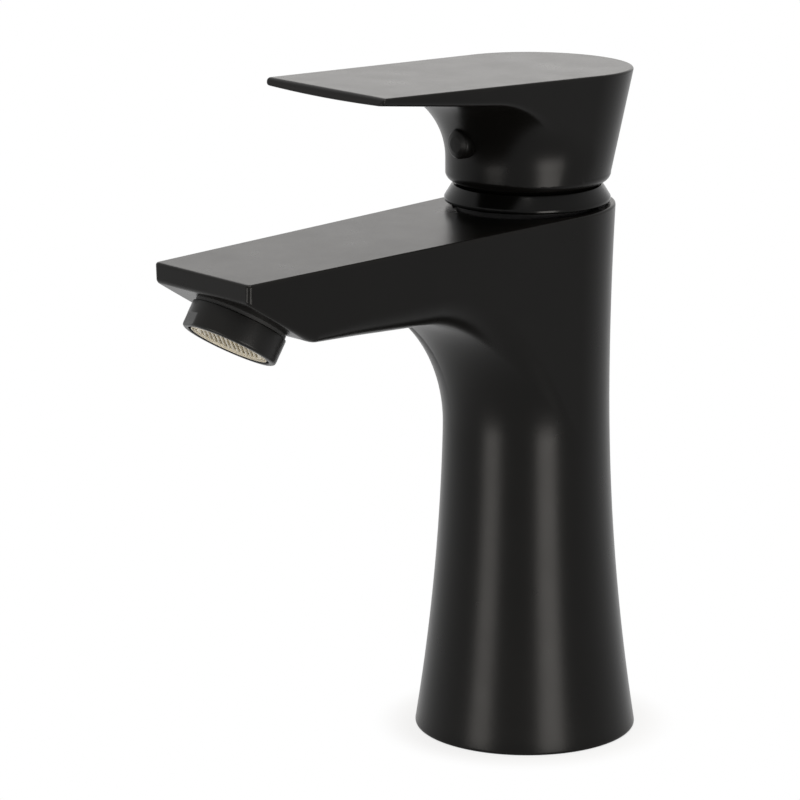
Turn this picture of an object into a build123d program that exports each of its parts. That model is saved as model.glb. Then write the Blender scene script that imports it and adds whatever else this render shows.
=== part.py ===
from build123d import *
import os
from math import acos, atan2, cos, degrees, hypot, radians, sin, sqrt, tan

# Single lever bathroom mixer faucet with a ceramic disc cartridge.
# Millimetres, +Z up, origin at the centre of the base on the deck.
# The spout and the lever point along -Y.
os.makedirs("parts", exist_ok=True)

# Column, an hourglass turned about Z
base_radius = 29.3
base_edge_radius = 0.8
waist_radius = 21.7
waist_drop = 45.5
rim_radius = 22.9
rim_allowance = 2.5
rim_wall = 3.5
column_wall = 4.5

# Spout
spout_reach = 106.2
spout_tip_width = 38.0
spout_top_height = 140.5
spout_top_fall = 2.1
spout_root_drop = 12.5
spout_root_depth = 27.5
spout_root_rise = 34.9
spout_under_rise = 2.9
tip_face_height = 4.8
tip_under_slope = 32.0
tip_corner_radius = 2.0

# Water ways in the body
chamber_depth = 37.5
chamber_step = 1.8
block_height = 12.0
block_flange = 4.0
block_bore_radius = 16.0
inlet_spread = 6.8
inlet_front = 3.5
inlet_thread_radius = 4.5
inlet_thread_depth = 8.0
inlet_port_radius = 2.2
stud_thread_radius = 3.4
stud_thread_depth = 8.0
stud_back = 9.0
channel_radius = 4.5
channel_drop = 12.0
channel_start = 16.0
channel_start_rise = 6.0
channel_bend = 45.0

# Base seal
base_seal_radius = 27.0
base_seal_width = 1.8
base_seal_thickness = 1.4

# Cartridge
cartridge_base_height = 8.0
outlet_window_width = 6.0
outlet_window_height = 4.0
outlet_window_lift = 2.0
outlet_port_radius = 2.6
outlet_port_back = 6.0
inlet_seal_radius = 4.4
inlet_seal_thickness = 1.3
disc_seal_thickness = 1.0
disc_seal_wall = 1.1
housing_body_height = 20.5
housing_neck_height = 9.0
housing_step = 1.8
housing_wall = 2.1
housing_top_thickness = 2.5
o_ring_drop = 4.5
o_ring_section = 0.95
disc_thickness = 3.5
disc_margin = 2.2
mixing_pocket_depth = 1.6
mixing_pocket_length = 8.8
mixing_pocket_width = 16.6
carrier_thickness = 4.0
carrier_floor = 0.8
carrier_rail_height = 2.0
carrier_rail_width = 2.4
carrier_rail_spread = 7.6
carrier_rail_length = 10.0
carrier_key_radius = 1.2
carrier_key_height = 1.2
turret_step = 3.95
turret_rise = 2.8
slot_length = 13.8
pin_radius = 1.5
pin_length = 24.0
stem_side = 8.0
stem_eye_radius = 4.6
stem_tail_length = 10.1
stem_tail_radius = 1.7
stem_ball_radius = 2.2
stem_shank_length = 32.0
stem_lean = 10.0
limit_ring_step = 2.4
limit_ring_thickness = 1.8
limit_ring_teeth = 24
limit_tooth_depth = 0.7

# Retaining nut and trim ring
nut_thread_length = 7.5
nut_wall = 2.6
nut_head_height = 6.0
nut_slot_width = 3.0
nut_slot_depth = 1.2
nut_slots = 6
trim_skirt = 3.5
trim_band = 1.1
trim_width = 3.3
trim_slant = 2.2
trim_lip = 1.1
trim_lip_width = 2.0
trim_edge_radius = 0.6
trim_o_ring_drop = 2.1
trim_o_ring_section = 0.6

# Lever
hub_radius = 21.3
hub_lift = 0.6
hub_edge_radius = 2.5
hub_waist_rise = 5.9
lever_root_radius = 19.3
lever_under_rise = 6.8
lever_reach = 67.1
lever_tip_width = 45.4
lever_height = 29.55
lever_top_rise = 1.15
lever_back_radius = 24.6
lever_back_offset = 3.6
lever_tip_lean = 30.0
hub_wall = 1.6
hub_cavity_height = 9.0
hub_core_step = 3.5
hub_roof_thickness = 6.0
boss_radius = 7.6
boss_start = 19.0
rib_width = 9.0
rib_drop = 5.0
rib_root = 0.5

# Set screw and plug
screw_rise = 11.9
screw_radius = 2.45
screw_length = 7.0
screw_socket_radius = 1.25
screw_socket_depth = 2.6
plug_stem_length = 4.0
plug_head_radius = 3.5
plug_head_side = 1.6
plug_head_dome = 0.9
plug_seat_depth = 0.3

# Aerator
aerator_radius = 12.35
aerator_setback = 14.4
aerator_drop = 7.7
aerator_thread_radius = 10.8
aerator_thread_length = 4.4
aerator_socket_depth = 5.0
aerator_bore_radius = 10.0
aerator_lip = 1.4
aerator_lip_radius = 9.5
aerator_flat_depth = 0.7
aerator_flat_height = 3.3
aerator_edge_radius = 0.7
aerator_washer_thickness = 1.0
aerator_washer_radius = 11.9
core_nose_radius = 9.2
core_nose_recess = 0.4
core_hole_radius = 7.4
core_jets = 12
core_jet_radius = 0.7
core_deck_thickness = 1.5
core_jet_ring = 5.5
core_inlet_radius = 8.4
core_inlet_depth = 3.2
core_ledge = 0.4
screen_thickness = 0.5
screen_recess = 0.9
screen_wire = 0.35
screen_pitch = 1.6
screen_rim = 1.0
inlet_screen_thickness = 0.6

# Clearances
running_gap = 0.05
slide_gap = 0.1
seal_gap = 0.05
thread_gap = 0.1
lift_gap = 0.3
film_gap = 0.02

# Levels, from the top of the spout down
waist_height = spout_top_height - waist_drop
rim_height = spout_top_height + rim_allowance
spout_root_height = waist_height - spout_root_drop
floor_height = spout_top_height - chamber_depth
channel_height = spout_top_height - channel_drop
hollow_top = floor_height - block_height
block_ledge = floor_height - block_flange

# Radii, from the rim inwards
thread_bore_radius = rim_radius - rim_wall
nut_radius = thread_bore_radius - thread_gap
chamber_radius = thread_bore_radius - chamber_step
cartridge_radius = chamber_radius - 2 * slide_gap
housing_neck_radius = cartridge_radius - housing_step
housing_bore_radius = housing_neck_radius - housing_wall
turret_radius = housing_bore_radius - running_gap
turret_neck_radius = turret_radius - turret_step
moving_disc_radius = housing_bore_radius - disc_margin
limit_ring_radius = housing_neck_radius - limit_ring_step
nut_head_radius = housing_neck_radius + nut_wall
trim_bottom_radius = nut_head_radius + trim_width
trim_top_radius = trim_bottom_radius - trim_slant
trim_lip_radius = nut_head_radius - trim_lip_width
hub_cavity_radius = hub_radius - hub_wall
hub_core_radius = hub_cavity_radius - hub_core_step

# Levels of the cartridge, from its floor up
base_top = floor_height + cartridge_base_height
fixed_disc_top = base_top + disc_thickness
moving_disc_bottom = fixed_disc_top + film_gap
carrier_bottom = moving_disc_bottom + disc_thickness
carrier_top = carrier_bottom + carrier_thickness
turret_bottom = carrier_top + slide_gap
pivot_height = carrier_bottom + carrier_floor + lift_gap + stem_ball_radius + stem_tail_length
ball_offset = stem_tail_length * sin(radians(stem_lean))
housing_shoulder_height = base_top + housing_body_height
housing_top_height = housing_shoulder_height + housing_neck_height
turret_shoulder = housing_top_height - housing_top_thickness - slide_gap
turret_top_height = housing_top_height + turret_rise
o_ring_height = housing_shoulder_height - o_ring_drop

# Levels of the nut, the trim ring and the lever
nut_thread_top = housing_shoulder_height + nut_thread_length
nut_top_height = nut_thread_top + nut_head_height
trim_bottom_height = nut_top_height - trim_skirt
trim_top_height = nut_top_height + trim_lip
trim_o_ring_height = nut_top_height - trim_o_ring_drop
hub_bottom_height = trim_top_height + hub_lift
hub_waist_height = hub_bottom_height + hub_waist_rise
lever_top_height = hub_bottom_height + lever_height
screw_height = hub_bottom_height + screw_rise

# Slopes and tapers
top_slope = tan(radians(spout_top_fall))
tip_half = spout_tip_width / 2
lever_half = lever_tip_width / 2
lever_run = lever_reach + lever_back_offset


def tangent_taper(radius, half_width, run):
    """Angle of a line that touches a circle and ends at a half width after a run."""
    return atan2(run, half_width) - acos(radius / hypot(half_width, run))


def arc_size(flare, height):
    """Radius of an arc that starts upright and moves out by flare over height."""
    return (flare**2 + height**2) / (2 * flare)


def column_radius(z):
    """Radius of the hourglass: one arc from the base to the waist, one on to the rim."""
    if z < waist_height:
        arc = arc_size(base_radius - waist_radius, waist_height)
    else:
        arc = arc_size(rim_radius - waist_radius, rim_height - waist_height)
    return waist_radius + arc - sqrt(arc**2 - (z - waist_height) ** 2)


def column_arc(low, high, inset=0.0):
    """Arc of the hourglass between two heights on one side of the waist."""
    middle = (low + high) / 2
    return ThreePointArc(
        (column_radius(low) - inset, low),
        (column_radius(middle) - inset, middle),
        (column_radius(high) - inset, high),
    )


def concave_arc(start, radius, rise):
    """Concave arc from an upright wall to an underside that rises."""
    centre = Vector(*start) + Vector(radius, 0)
    turn = (radians(90) - rise) / 2
    middle = centre + radius * Vector(-cos(turn), sin(turn))
    end = centre + radius * Vector(-sin(rise), cos(rise))
    return ThreePointArc(start, middle, end)


def ring(plane, outer, inner, height):
    """Flat ring on a plane."""
    with BuildSketch(plane) as outline:
        Circle(outer)
        Circle(inner, mode=Mode.SUBTRACT)
    extrude(outline.sketch, amount=height)


def mesh(plane, radius, thickness):
    """Round screen on a plane: a rim and two crossed rows of wires."""
    wires = int(2 * radius / screen_pitch)
    with BuildSketch(plane) as outline:
        Circle(radius)
        Circle(radius - screen_rim, mode=Mode.SUBTRACT)
        with GridLocations(screen_pitch, screen_pitch, wires, 1):
            Rectangle(screen_wire, 2 * radius)
        with GridLocations(screen_pitch, screen_pitch, 1, wires):
            Rectangle(2 * radius, screen_wire)
        Circle(radius, mode=Mode.INTERSECT)
    extrude(outline.sketch, amount=thickness)


# Places worked out from the sizes above
inlet_places = [(-inlet_spread, -inlet_front), (inlet_spread, -inlet_front)]
port_places = [*inlet_places, (0, outlet_port_back)]
key_places = [(-carrier_rail_spread, ball_offset), (carrier_rail_spread, ball_offset)]
disc_seal_radius = outlet_port_radius + disc_seal_wall
mixing_pocket_radius = mixing_pocket_length / 4
slot_width = stem_side + 2 * slide_gap
o_ring_radius = chamber_radius - seal_gap - o_ring_section
nut_bore_radius = housing_neck_radius + slide_gap
trim_bore_radius = nut_head_radius + thread_gap
trim_o_ring_radius = trim_bore_radius - seal_gap - trim_o_ring_section
hub_start = hub_bottom_height + hub_edge_radius
plug_rise = screw_height - hub_waist_height
plug_inset = lever_root_radius - sqrt(lever_root_radius**2 - plug_rise**2)
plug_seat = hub_radius + plug_inset - plug_seat_depth
lever_ceiling = lever_top_height + hub_roof_thickness
hub_roof_height = lever_top_height - hub_roof_thickness
boss_length = stem_shank_length + hub_edge_radius - boss_start
lean = radians(stem_lean)
stem_front = (screw_height - pivot_height) * tan(lean) + stem_side / 2 / cos(lean)
screw_tip = stem_front + screw_radius * tan(lean) + film_gap
lever_size = lever_reach + lever_back_radius
core_start = 2 * slide_gap - aerator_thread_length
core_seat = aerator_drop - aerator_lip
core_end = aerator_drop - core_nose_recess
core_deck_end = core_start + core_inlet_depth + core_deck_thickness

taper = tangent_taper(rim_radius, tip_half, spout_reach)
lever_taper = tangent_taper(lever_back_radius, lever_half, lever_run)

# Planes of the spout
side_plane = Plane(
    origin=(0, 0, 0),
    x_dir=(cos(taper), -sin(taper), 0),
    z_dir=(-sin(taper), -cos(taper), 0),
)
top_plane = Plane(origin=(0, 0, spout_top_height), x_dir=(1, 0, 0), z_dir=(0, -top_slope, 1))
tip_plane = Plane(origin=(0, -spout_reach, 0), x_dir=(1, 0, 0), z_dir=(0, -1, 0))
tip_top = spout_top_height - spout_reach * top_slope
tip_angle = radians(tip_under_slope)
under_plane = Plane(
    origin=(0, -spout_reach, tip_top - tip_face_height),
    x_dir=(1, 0, 0),
    z_dir=(0, -sin(tip_angle), -cos(tip_angle)),
)
aerator_plane = Plane(
    origin=under_plane.from_local_coords((0, -aerator_setback, 0)),
    x_dir=(1, 0, 0),
    z_dir=under_plane.z_dir,
)

rising_run = channel_bend - channel_start
rising_height = channel_height - floor_height - channel_start_rise
rising_plane = Plane(
    origin=(0, -channel_start, floor_height + channel_start_rise),
    x_dir=(1, 0, 0),
    z_dir=(0, -rising_run, rising_height),
)
rising_length = hypot(rising_run, rising_height)

# Planes of the lever
stem_plane = Plane(
    origin=(0, 0, pivot_height),
    x_dir=(1, 0, 0),
    z_dir=(0, -sin(lean), cos(lean)),
)
lever_slope = tan(radians(lever_top_rise))
lever_top_plane = Plane(
    origin=(0, 0, lever_top_height),
    x_dir=(1, 0, 0),
    z_dir=(0, lever_slope, 1),
)
tip_lean = radians(lever_tip_lean)
lever_tip_plane = Plane(
    origin=(0, -lever_reach, lever_top_height + lever_reach * lever_slope),
    x_dir=(1, 0, 0),
    z_dir=(0, -cos(tip_lean), sin(tip_lean)),
)
plug_plane = Plane(origin=(0, -plug_seat, screw_height), x_dir=(1, 0, 0), z_dir=(0, 0, -1))

# Body: spout blank with sides that run tangent into the column
with BuildPart() as spout_blank:
    with BuildSketch(side_plane) as flank:
        with BuildLine():
            column_arc(spout_root_height, waist_height)
            column_arc(waist_height, rim_height)
            Polyline(
                (rim_radius, rim_height),
                (0, rim_height),
                (0, spout_root_height),
                (column_radius(spout_root_height), spout_root_height),
            )
        make_face()
    extrude(amount=spout_reach + rim_radius)
    mirror(about=Plane.YZ)
    revolve(flank.sketch, axis=Axis.Z, revolution_arc=180 + 2 * degrees(taper))

# Body: everything above the concave root and the underside, and all behind the axis
form_size = spout_reach + 2 * rim_radius
run_start = column_radius(spout_root_height) + spout_root_depth
run_height = spout_root_height + spout_root_rise
run_end_height = run_height + tan(radians(spout_under_rise)) * (form_size - run_start)
with BuildPart() as spout_form:
    with BuildSketch(Plane.XZ):
        with BuildLine():
            EllipticalCenterArc(
                (run_start, spout_root_height),
                spout_root_depth,
                spout_root_rise,
                start_angle=90,
                arc_size=90,
            )
            Polyline(
                (run_start, run_height),
                (form_size, run_end_height),
                (form_size, rim_height),
                (0, rim_height),
                (0, spout_root_height),
                (run_start - spout_root_depth, spout_root_height),
            )
        make_face()
    revolve(axis=Axis.Z)
    with BuildSketch(Plane.XY.offset(spout_root_height)):
        with Locations((0, form_size / 2)):
            Rectangle(2 * form_size, form_size)
    extrude(amount=rim_height - spout_root_height)

with BuildPart() as faucet_body:
    add(spout_blank.part)
    add(spout_form.part, mode=Mode.INTERSECT)
    split(bisect_by=top_plane, keep=Keep.BOTTOM)
    split(bisect_by=tip_plane, keep=Keep.BOTTOM)
    split(bisect_by=under_plane, keep=Keep.BOTTOM)
    tip_sides = faucet_body.edges().group_by(Axis.Y)[0].sort_by(Axis.X)
    fillet([tip_sides[0], tip_sides[-1]], tip_corner_radius)
    with BuildSketch(Plane.XZ):
        with BuildLine():
            column_arc(0, spout_root_height)
            Polyline(
                (column_radius(spout_root_height), spout_root_height),
                (0, spout_root_height),
                (0, 0),
                (base_radius, 0),
            )
        make_face()
    revolve(axis=Axis.Z)
    fillet(faucet_body.edges().group_by(Axis.Z)[0], base_edge_radius)
    # Hollow base, open below
    with BuildSketch(Plane.XZ):
        with BuildLine():
            column_arc(0, hollow_top, column_wall)
            Polyline(
                (column_radius(hollow_top) - column_wall, hollow_top),
                (0, hollow_top),
                (0, 0),
                (base_radius - column_wall, 0),
            )
        make_face()
    revolve(axis=Axis.Z, mode=Mode.SUBTRACT)
    # Seat of the inlet block, cartridge chamber and the bore for the nut
    with BuildSketch(Plane.XY.offset(hollow_top)):
        Circle(block_bore_radius)
    extrude(amount=block_height, mode=Mode.SUBTRACT)
    with BuildSketch(Plane.XY.offset(block_ledge)):
        Circle(chamber_radius)
    extrude(amount=rim_height - block_ledge, mode=Mode.SUBTRACT)
    with BuildSketch(Plane.XY.offset(housing_shoulder_height)):
        Circle(thread_bore_radius)
    extrude(amount=rim_height - housing_shoulder_height, mode=Mode.SUBTRACT)
    # Water channel: up from the chamber's front, then along the spout
    with BuildSketch(rising_plane):
        Circle(channel_radius)
    extrude(amount=rising_length, mode=Mode.SUBTRACT)
    with BuildSketch(Plane.XZ.offset(channel_bend)):
        with Locations((0, channel_height)):
            Circle(channel_radius)
    extrude(amount=-aerator_plane.origin.Y - channel_bend, mode=Mode.SUBTRACT)
    # Aerator socket
    with BuildSketch(aerator_plane):
        Circle(aerator_thread_radius + thread_gap)
    extrude(amount=-aerator_socket_depth, mode=Mode.SUBTRACT)
    # Groove for the base seal
    with BuildSketch(Plane.XY):
        Circle(base_seal_radius + base_seal_width / 2 + slide_gap)
        Circle(base_seal_radius - base_seal_width / 2 - slide_gap, mode=Mode.SUBTRACT)
    extrude(amount=base_seal_thickness, mode=Mode.SUBTRACT)
faucet_body.part.label = "faucet_body"
export_step(faucet_body.part, "parts/faucet_body.step")

with BuildPart() as base_seal:
    ring(Plane.XY, base_seal_radius + base_seal_width / 2, base_seal_radius - base_seal_width / 2,
         base_seal_thickness)
base_seal.part.label = "base_seal"
export_step(base_seal.part, "parts/base_seal.step")

# Inlet block: the floor of the chamber, with the hose threads and the stud thread below
with BuildPart() as inlet_block:
    with BuildSketch(Plane.XY.offset(hollow_top)):
        Circle(block_bore_radius - slide_gap)
    extrude(amount=block_height)
    with BuildSketch(Plane.XY.offset(block_ledge)):
        Circle(chamber_radius - slide_gap)
    extrude(amount=block_flange)
    with BuildSketch(Plane.XY.offset(hollow_top)):
        with Locations(*inlet_places):
            Circle(inlet_thread_radius)
    extrude(amount=inlet_thread_depth, mode=Mode.SUBTRACT)
    with BuildSketch(Plane.XY.offset(hollow_top)):
        with Locations(*inlet_places):
            Circle(inlet_port_radius)
    extrude(amount=block_height, mode=Mode.SUBTRACT)
    with BuildSketch(Plane.XY.offset(hollow_top)):
        with Locations((0, stud_back)):
            Circle(stud_thread_radius)
    extrude(amount=stud_thread_depth, mode=Mode.SUBTRACT)
inlet_block.part.label = "inlet_block"
export_step(inlet_block.part, "parts/inlet_block.step")

# Cartridge foot: two inlets come up through it, the outlet turns to the window in its front
with BuildPart() as cartridge_base:
    with BuildSketch(Plane.XY.offset(floor_height)):
        Circle(cartridge_radius)
        with Locations(*inlet_places):
            Circle(inlet_port_radius, mode=Mode.SUBTRACT)
    extrude(amount=cartridge_base_height)
    with BuildSketch(Plane.XY.offset(floor_height)):
        with Locations(*inlet_places):
            Circle(inlet_seal_radius + slide_gap)
    extrude(amount=inlet_seal_thickness, mode=Mode.SUBTRACT)
    with BuildSketch(Plane.XY.offset(base_top)):
        with Locations(*port_places):
            Circle(disc_seal_radius + slide_gap)
    extrude(amount=-disc_seal_thickness, mode=Mode.SUBTRACT)
    with BuildSketch(Plane.XY.offset(base_top)):
        with Locations((0, outlet_port_back)):
            Circle(outlet_port_radius)
    extrude(amount=floor_height + outlet_window_lift - base_top, mode=Mode.SUBTRACT)
    with BuildSketch(Plane.XY.offset(floor_height + outlet_window_lift)):
        with Locations((0, outlet_port_back)):
            Rectangle(outlet_window_width, 2 * cartridge_radius, align=(Align.CENTER, Align.MAX))
    extrude(amount=outlet_window_height, mode=Mode.SUBTRACT)
cartridge_base.part.label = "cartridge_base"
export_step(cartridge_base.part, "parts/cartridge_base.step")

with BuildPart() as inlet_seals:
    with BuildSketch(Plane.XY.offset(floor_height)):
        with Locations(*inlet_places):
            Circle(inlet_seal_radius)
            Circle(inlet_port_radius, mode=Mode.SUBTRACT)
    extrude(amount=inlet_seal_thickness)
inlet_seals.part.label = "inlet_seals"
export_step(inlet_seals.part, "parts/inlet_seals.step")

with BuildPart() as disc_seals:
    with BuildSketch(Plane.XY.offset(base_top)):
        with Locations(*port_places):
            Circle(disc_seal_radius)
            Circle(disc_seal_radius - disc_seal_wall, mode=Mode.SUBTRACT)
    extrude(amount=-disc_seal_thickness)
disc_seals.part.label = "disc_seals"
export_step(disc_seals.part, "parts/disc_seals.step")

with BuildPart() as fixed_disc:
    with BuildSketch(Plane.XY.offset(base_top)):
        Circle(housing_bore_radius - slide_gap)
        with Locations(*inlet_places):
            Circle(inlet_port_radius, mode=Mode.SUBTRACT)
        with Locations((0, outlet_port_back)):
            Circle(outlet_port_radius, mode=Mode.SUBTRACT)
    extrude(amount=disc_thickness)
fixed_disc.part.label = "fixed_disc"
export_step(fixed_disc.part, "parts/fixed_disc.step")

# Moving disc, drawn shut, with the mixing pocket in its underside
with BuildPart() as moving_disc:
    with BuildSketch(Plane.XY.offset(moving_disc_bottom)):
        with Locations((0, ball_offset)):
            Circle(moving_disc_radius)
    extrude(amount=disc_thickness)
    with BuildSketch(Plane.XY.offset(moving_disc_bottom)):
        with Locations((0, 2 * ball_offset)):
            RectangleRounded(mixing_pocket_width, mixing_pocket_length, mixing_pocket_radius)
    extrude(amount=mixing_pocket_depth, mode=Mode.SUBTRACT)
    with BuildSketch(Plane.XY.offset(carrier_bottom)):
        with Locations(*key_places):
            Circle(carrier_key_radius + running_gap)
    extrude(amount=-carrier_key_height - running_gap, mode=Mode.SUBTRACT)
moving_disc.part.label = "moving_disc"
export_step(moving_disc.part, "parts/moving_disc.step")

# Carrier: keys hold the disc below, rails guide it in the turret above
with BuildPart() as disc_carrier:
    with BuildSketch(Plane.XY.offset(carrier_bottom)):
        with Locations((0, ball_offset)):
            Circle(moving_disc_radius)
    extrude(amount=carrier_thickness)
    with BuildSketch(Plane.XY.offset(carrier_bottom)):
        with Locations(*key_places):
            Circle(carrier_key_radius)
    extrude(amount=-carrier_key_height)
    with BuildSketch(Plane.XY.offset(carrier_top)):
        with Locations((carrier_rail_spread, ball_offset), (-carrier_rail_spread, ball_offset)):
            Rectangle(carrier_rail_width, carrier_rail_length)
    extrude(amount=carrier_rail_height)
    with BuildSketch(Plane.XY.offset(carrier_bottom + carrier_floor)):
        with Locations((0, ball_offset)):
            Circle(stem_ball_radius + slide_gap)
    extrude(amount=carrier_thickness, mode=Mode.SUBTRACT)
disc_carrier.part.label = "disc_carrier"
export_step(disc_carrier.part, "parts/disc_carrier.step")

with BuildPart() as cartridge_housing:
    with BuildSketch(Plane.XY.offset(base_top)):
        Circle(cartridge_radius)
    extrude(amount=housing_shoulder_height - base_top)
    with BuildSketch(Plane.XY.offset(housing_shoulder_height)):
        Circle(housing_neck_radius)
    extrude(amount=housing_top_height - housing_shoulder_height)
    with BuildSketch(Plane.XY.offset(base_top)):
        Circle(housing_bore_radius)
    extrude(amount=housing_top_height - housing_top_thickness - base_top, mode=Mode.SUBTRACT)
    with BuildSketch(Plane.XY.offset(housing_top_height)):
        Circle(turret_neck_radius + running_gap)
    extrude(amount=-housing_top_thickness, mode=Mode.SUBTRACT)
    with BuildSketch(Plane.XY.offset(o_ring_height - o_ring_section - slide_gap)):
        Circle(chamber_radius)
        Circle(o_ring_radius - o_ring_section - seal_gap, mode=Mode.SUBTRACT)
    extrude(amount=2 * (o_ring_section + slide_gap), mode=Mode.SUBTRACT)
cartridge_housing.part.label = "cartridge_housing"
export_step(cartridge_housing.part, "parts/cartridge_housing.step")

with BuildPart() as housing_o_ring:
    with BuildSketch(Plane.XZ):
        with Locations((o_ring_radius, o_ring_height)):
            Circle(o_ring_section)
    revolve(axis=Axis.Z)
housing_o_ring.part.label = "housing_o_ring"
export_step(housing_o_ring.part, "parts/housing_o_ring.step")

# Turret: the slot lets the stem rock, the grooves guide the carrier
with BuildPart() as turret:
    with BuildSketch(Plane.XY.offset(turret_bottom)):
        Circle(turret_radius)
    extrude(amount=turret_shoulder - turret_bottom)
    with BuildSketch(Plane.XY.offset(turret_shoulder)):
        Circle(turret_neck_radius)
    extrude(amount=turret_top_height - turret_shoulder)
    with BuildSketch(Plane.XY.offset(turret_bottom)):
        Rectangle(slot_width, slot_length)
    extrude(amount=turret_top_height - turret_bottom, mode=Mode.SUBTRACT)
    with BuildSketch(Plane.XY.offset(turret_bottom)):
        with Locations((carrier_rail_spread, 0), (-carrier_rail_spread, 0)):
            Rectangle(carrier_rail_width + 2 * slide_gap, 2 * turret_radius)
    extrude(amount=carrier_rail_height + slide_gap, mode=Mode.SUBTRACT)
    with BuildSketch(Plane.YZ):
        with Locations((0, pivot_height)):
            Circle(pin_radius + film_gap)
    extrude(amount=turret_radius, both=True, mode=Mode.SUBTRACT)
turret.part.label = "turret"
export_step(turret.part, "parts/turret.step")

with BuildPart() as pivot_pin:
    with BuildSketch(Plane.YZ):
        with Locations((0, pivot_height)):
            Circle(pin_radius)
    extrude(amount=pin_length / 2, both=True)
pivot_pin.part.label = "pivot_pin"
export_step(pivot_pin.part, "parts/pivot_pin.step")

# Stem: square shank above the pivot eye, thin tail and ball below
with BuildPart() as lever_stem:
    with BuildSketch(stem_plane):
        Rectangle(stem_side, stem_side)
    extrude(amount=stem_shank_length)
    with BuildSketch(stem_plane):
        Circle(stem_tail_radius)
    extrude(amount=-stem_tail_length)
    with BuildSketch(Plane.YZ):
        with Locations((0, pivot_height)):
            Circle(stem_eye_radius)
    extrude(amount=stem_side / 2, both=True)
    with Locations(stem_plane.from_local_coords((0, 0, -stem_tail_length))):
        Sphere(stem_ball_radius)
    with BuildSketch(Plane.YZ):
        with Locations((0, pivot_height)):
            Circle(pin_radius + running_gap)
    extrude(amount=stem_side, both=True, mode=Mode.SUBTRACT)
lever_stem.part.label = "lever_stem"
export_step(lever_stem.part, "parts/lever_stem.step")

with BuildPart() as hot_limit_ring:
    ring(Plane.XY.offset(housing_top_height), limit_ring_radius, turret_neck_radius + slide_gap,
         limit_ring_thickness)
    with BuildSketch(Plane.XY.offset(housing_top_height)):
        with PolarLocations(limit_ring_radius, limit_ring_teeth):
            Rectangle(2 * limit_tooth_depth, limit_tooth_depth)
    extrude(amount=limit_ring_thickness, mode=Mode.SUBTRACT)
hot_limit_ring.part.label = "hot_limit_ring"
export_step(hot_limit_ring.part, "parts/hot_limit_ring.step")

with BuildPart() as retaining_nut:
    ring(Plane.XY.offset(housing_shoulder_height), nut_radius, nut_bore_radius,
         nut_thread_top - housing_shoulder_height)
    ring(Plane.XY.offset(nut_thread_top), nut_head_radius, nut_bore_radius,
         nut_top_height - nut_thread_top)
    with BuildSketch(Plane.XY.offset(nut_top_height)):
        with PolarLocations(nut_head_radius, nut_slots):
            Rectangle(nut_head_radius, nut_slot_width)
    extrude(amount=-nut_slot_depth, mode=Mode.SUBTRACT)
    with BuildSketch(Plane.XY.offset(trim_o_ring_height - trim_o_ring_section - slide_gap)):
        Circle(trim_bore_radius)
        Circle(trim_o_ring_radius - trim_o_ring_section - seal_gap, mode=Mode.SUBTRACT)
    extrude(amount=2 * (trim_o_ring_section + slide_gap), mode=Mode.SUBTRACT)
retaining_nut.part.label = "retaining_nut"
export_step(retaining_nut.part, "parts/retaining_nut.step")

with BuildPart() as trim_o_ring:
    with BuildSketch(Plane.XZ):
        with Locations((trim_o_ring_radius, trim_o_ring_height)):
            Circle(trim_o_ring_section)
    revolve(axis=Axis.Z)
trim_o_ring.part.label = "trim_o_ring"
export_step(trim_o_ring.part, "parts/trim_o_ring.step")

# Trim ring: a short upright band and a cone, with a lip that sits on the nut
with BuildPart() as trim_ring:
    with BuildSketch(Plane.XZ):
        with BuildLine():
            Polyline(
                (trim_bore_radius, trim_bottom_height),
                (trim_bottom_radius, trim_bottom_height),
                (trim_bottom_radius, trim_bottom_height + trim_band),
                (trim_top_radius, trim_top_height),
                (trim_lip_radius, trim_top_height),
                (trim_lip_radius, nut_top_height),
                (trim_bore_radius, nut_top_height),
                close=True,
            )
        make_face()
    revolve(axis=Axis.Z)
    trim_edges = trim_ring.edges().filter_by(GeomType.CIRCLE).group_by(SortBy.RADIUS)
    fillet(trim_edges[-1], trim_edge_radius)
trim_ring.part.label = "trim_ring"
export_step(trim_ring.part, "parts/trim_ring.step")

# Lever: a U in plan that widens upwards, cut below by the turned hub and its concave root
with BuildPart() as lever_blank:
    for height in (hub_start, lever_ceiling):
        share = (height - hub_start) / (lever_top_height - hub_start)
        back_radius = hub_radius + share * (lever_back_radius - hub_radius)
        back_centre = share * lever_back_offset
        tangent = back_radius * Vector(cos(lever_taper), -sin(lever_taper))
        half = (back_radius - (lever_size + back_centre) * sin(lever_taper)) / cos(lever_taper)
        with BuildSketch(Plane.XY.offset(height)):
            with BuildLine():
                ThreePointArc(
                    (tangent.X, back_centre + tangent.Y),
                    (0, back_centre + back_radius),
                    (-tangent.X, back_centre + tangent.Y),
                )
                Polyline(
                    (-tangent.X, back_centre + tangent.Y),
                    (-half, -lever_size),
                    (half, -lever_size),
                    (tangent.X, back_centre + tangent.Y),
                )
            make_face()
    loft(ruled=True)

with BuildPart() as lever_form:
    with BuildSketch(Plane.XZ):
        with BuildLine():
            neck = (hub_radius, hub_waist_height)
            root = concave_arc(neck, lever_root_radius, radians(lever_under_rise))
            rise = tan(radians(lever_under_rise)) * (lever_size - (root @ 1).X)
            Polyline(
                root @ 1,
                (lever_size, (root @ 1).Y + rise),
                (lever_size, lever_ceiling),
                (0, lever_ceiling),
                (0, hub_start),
                (hub_radius, hub_start),
                neck,
            )
        make_face()
    revolve(axis=Axis.Z)
    with BuildSketch(Plane.XY.offset(hub_start)):
        with Locations((0, lever_size / 2)):
            Rectangle(2 * lever_size, lever_size)
    extrude(amount=lever_ceiling - hub_start)

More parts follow.
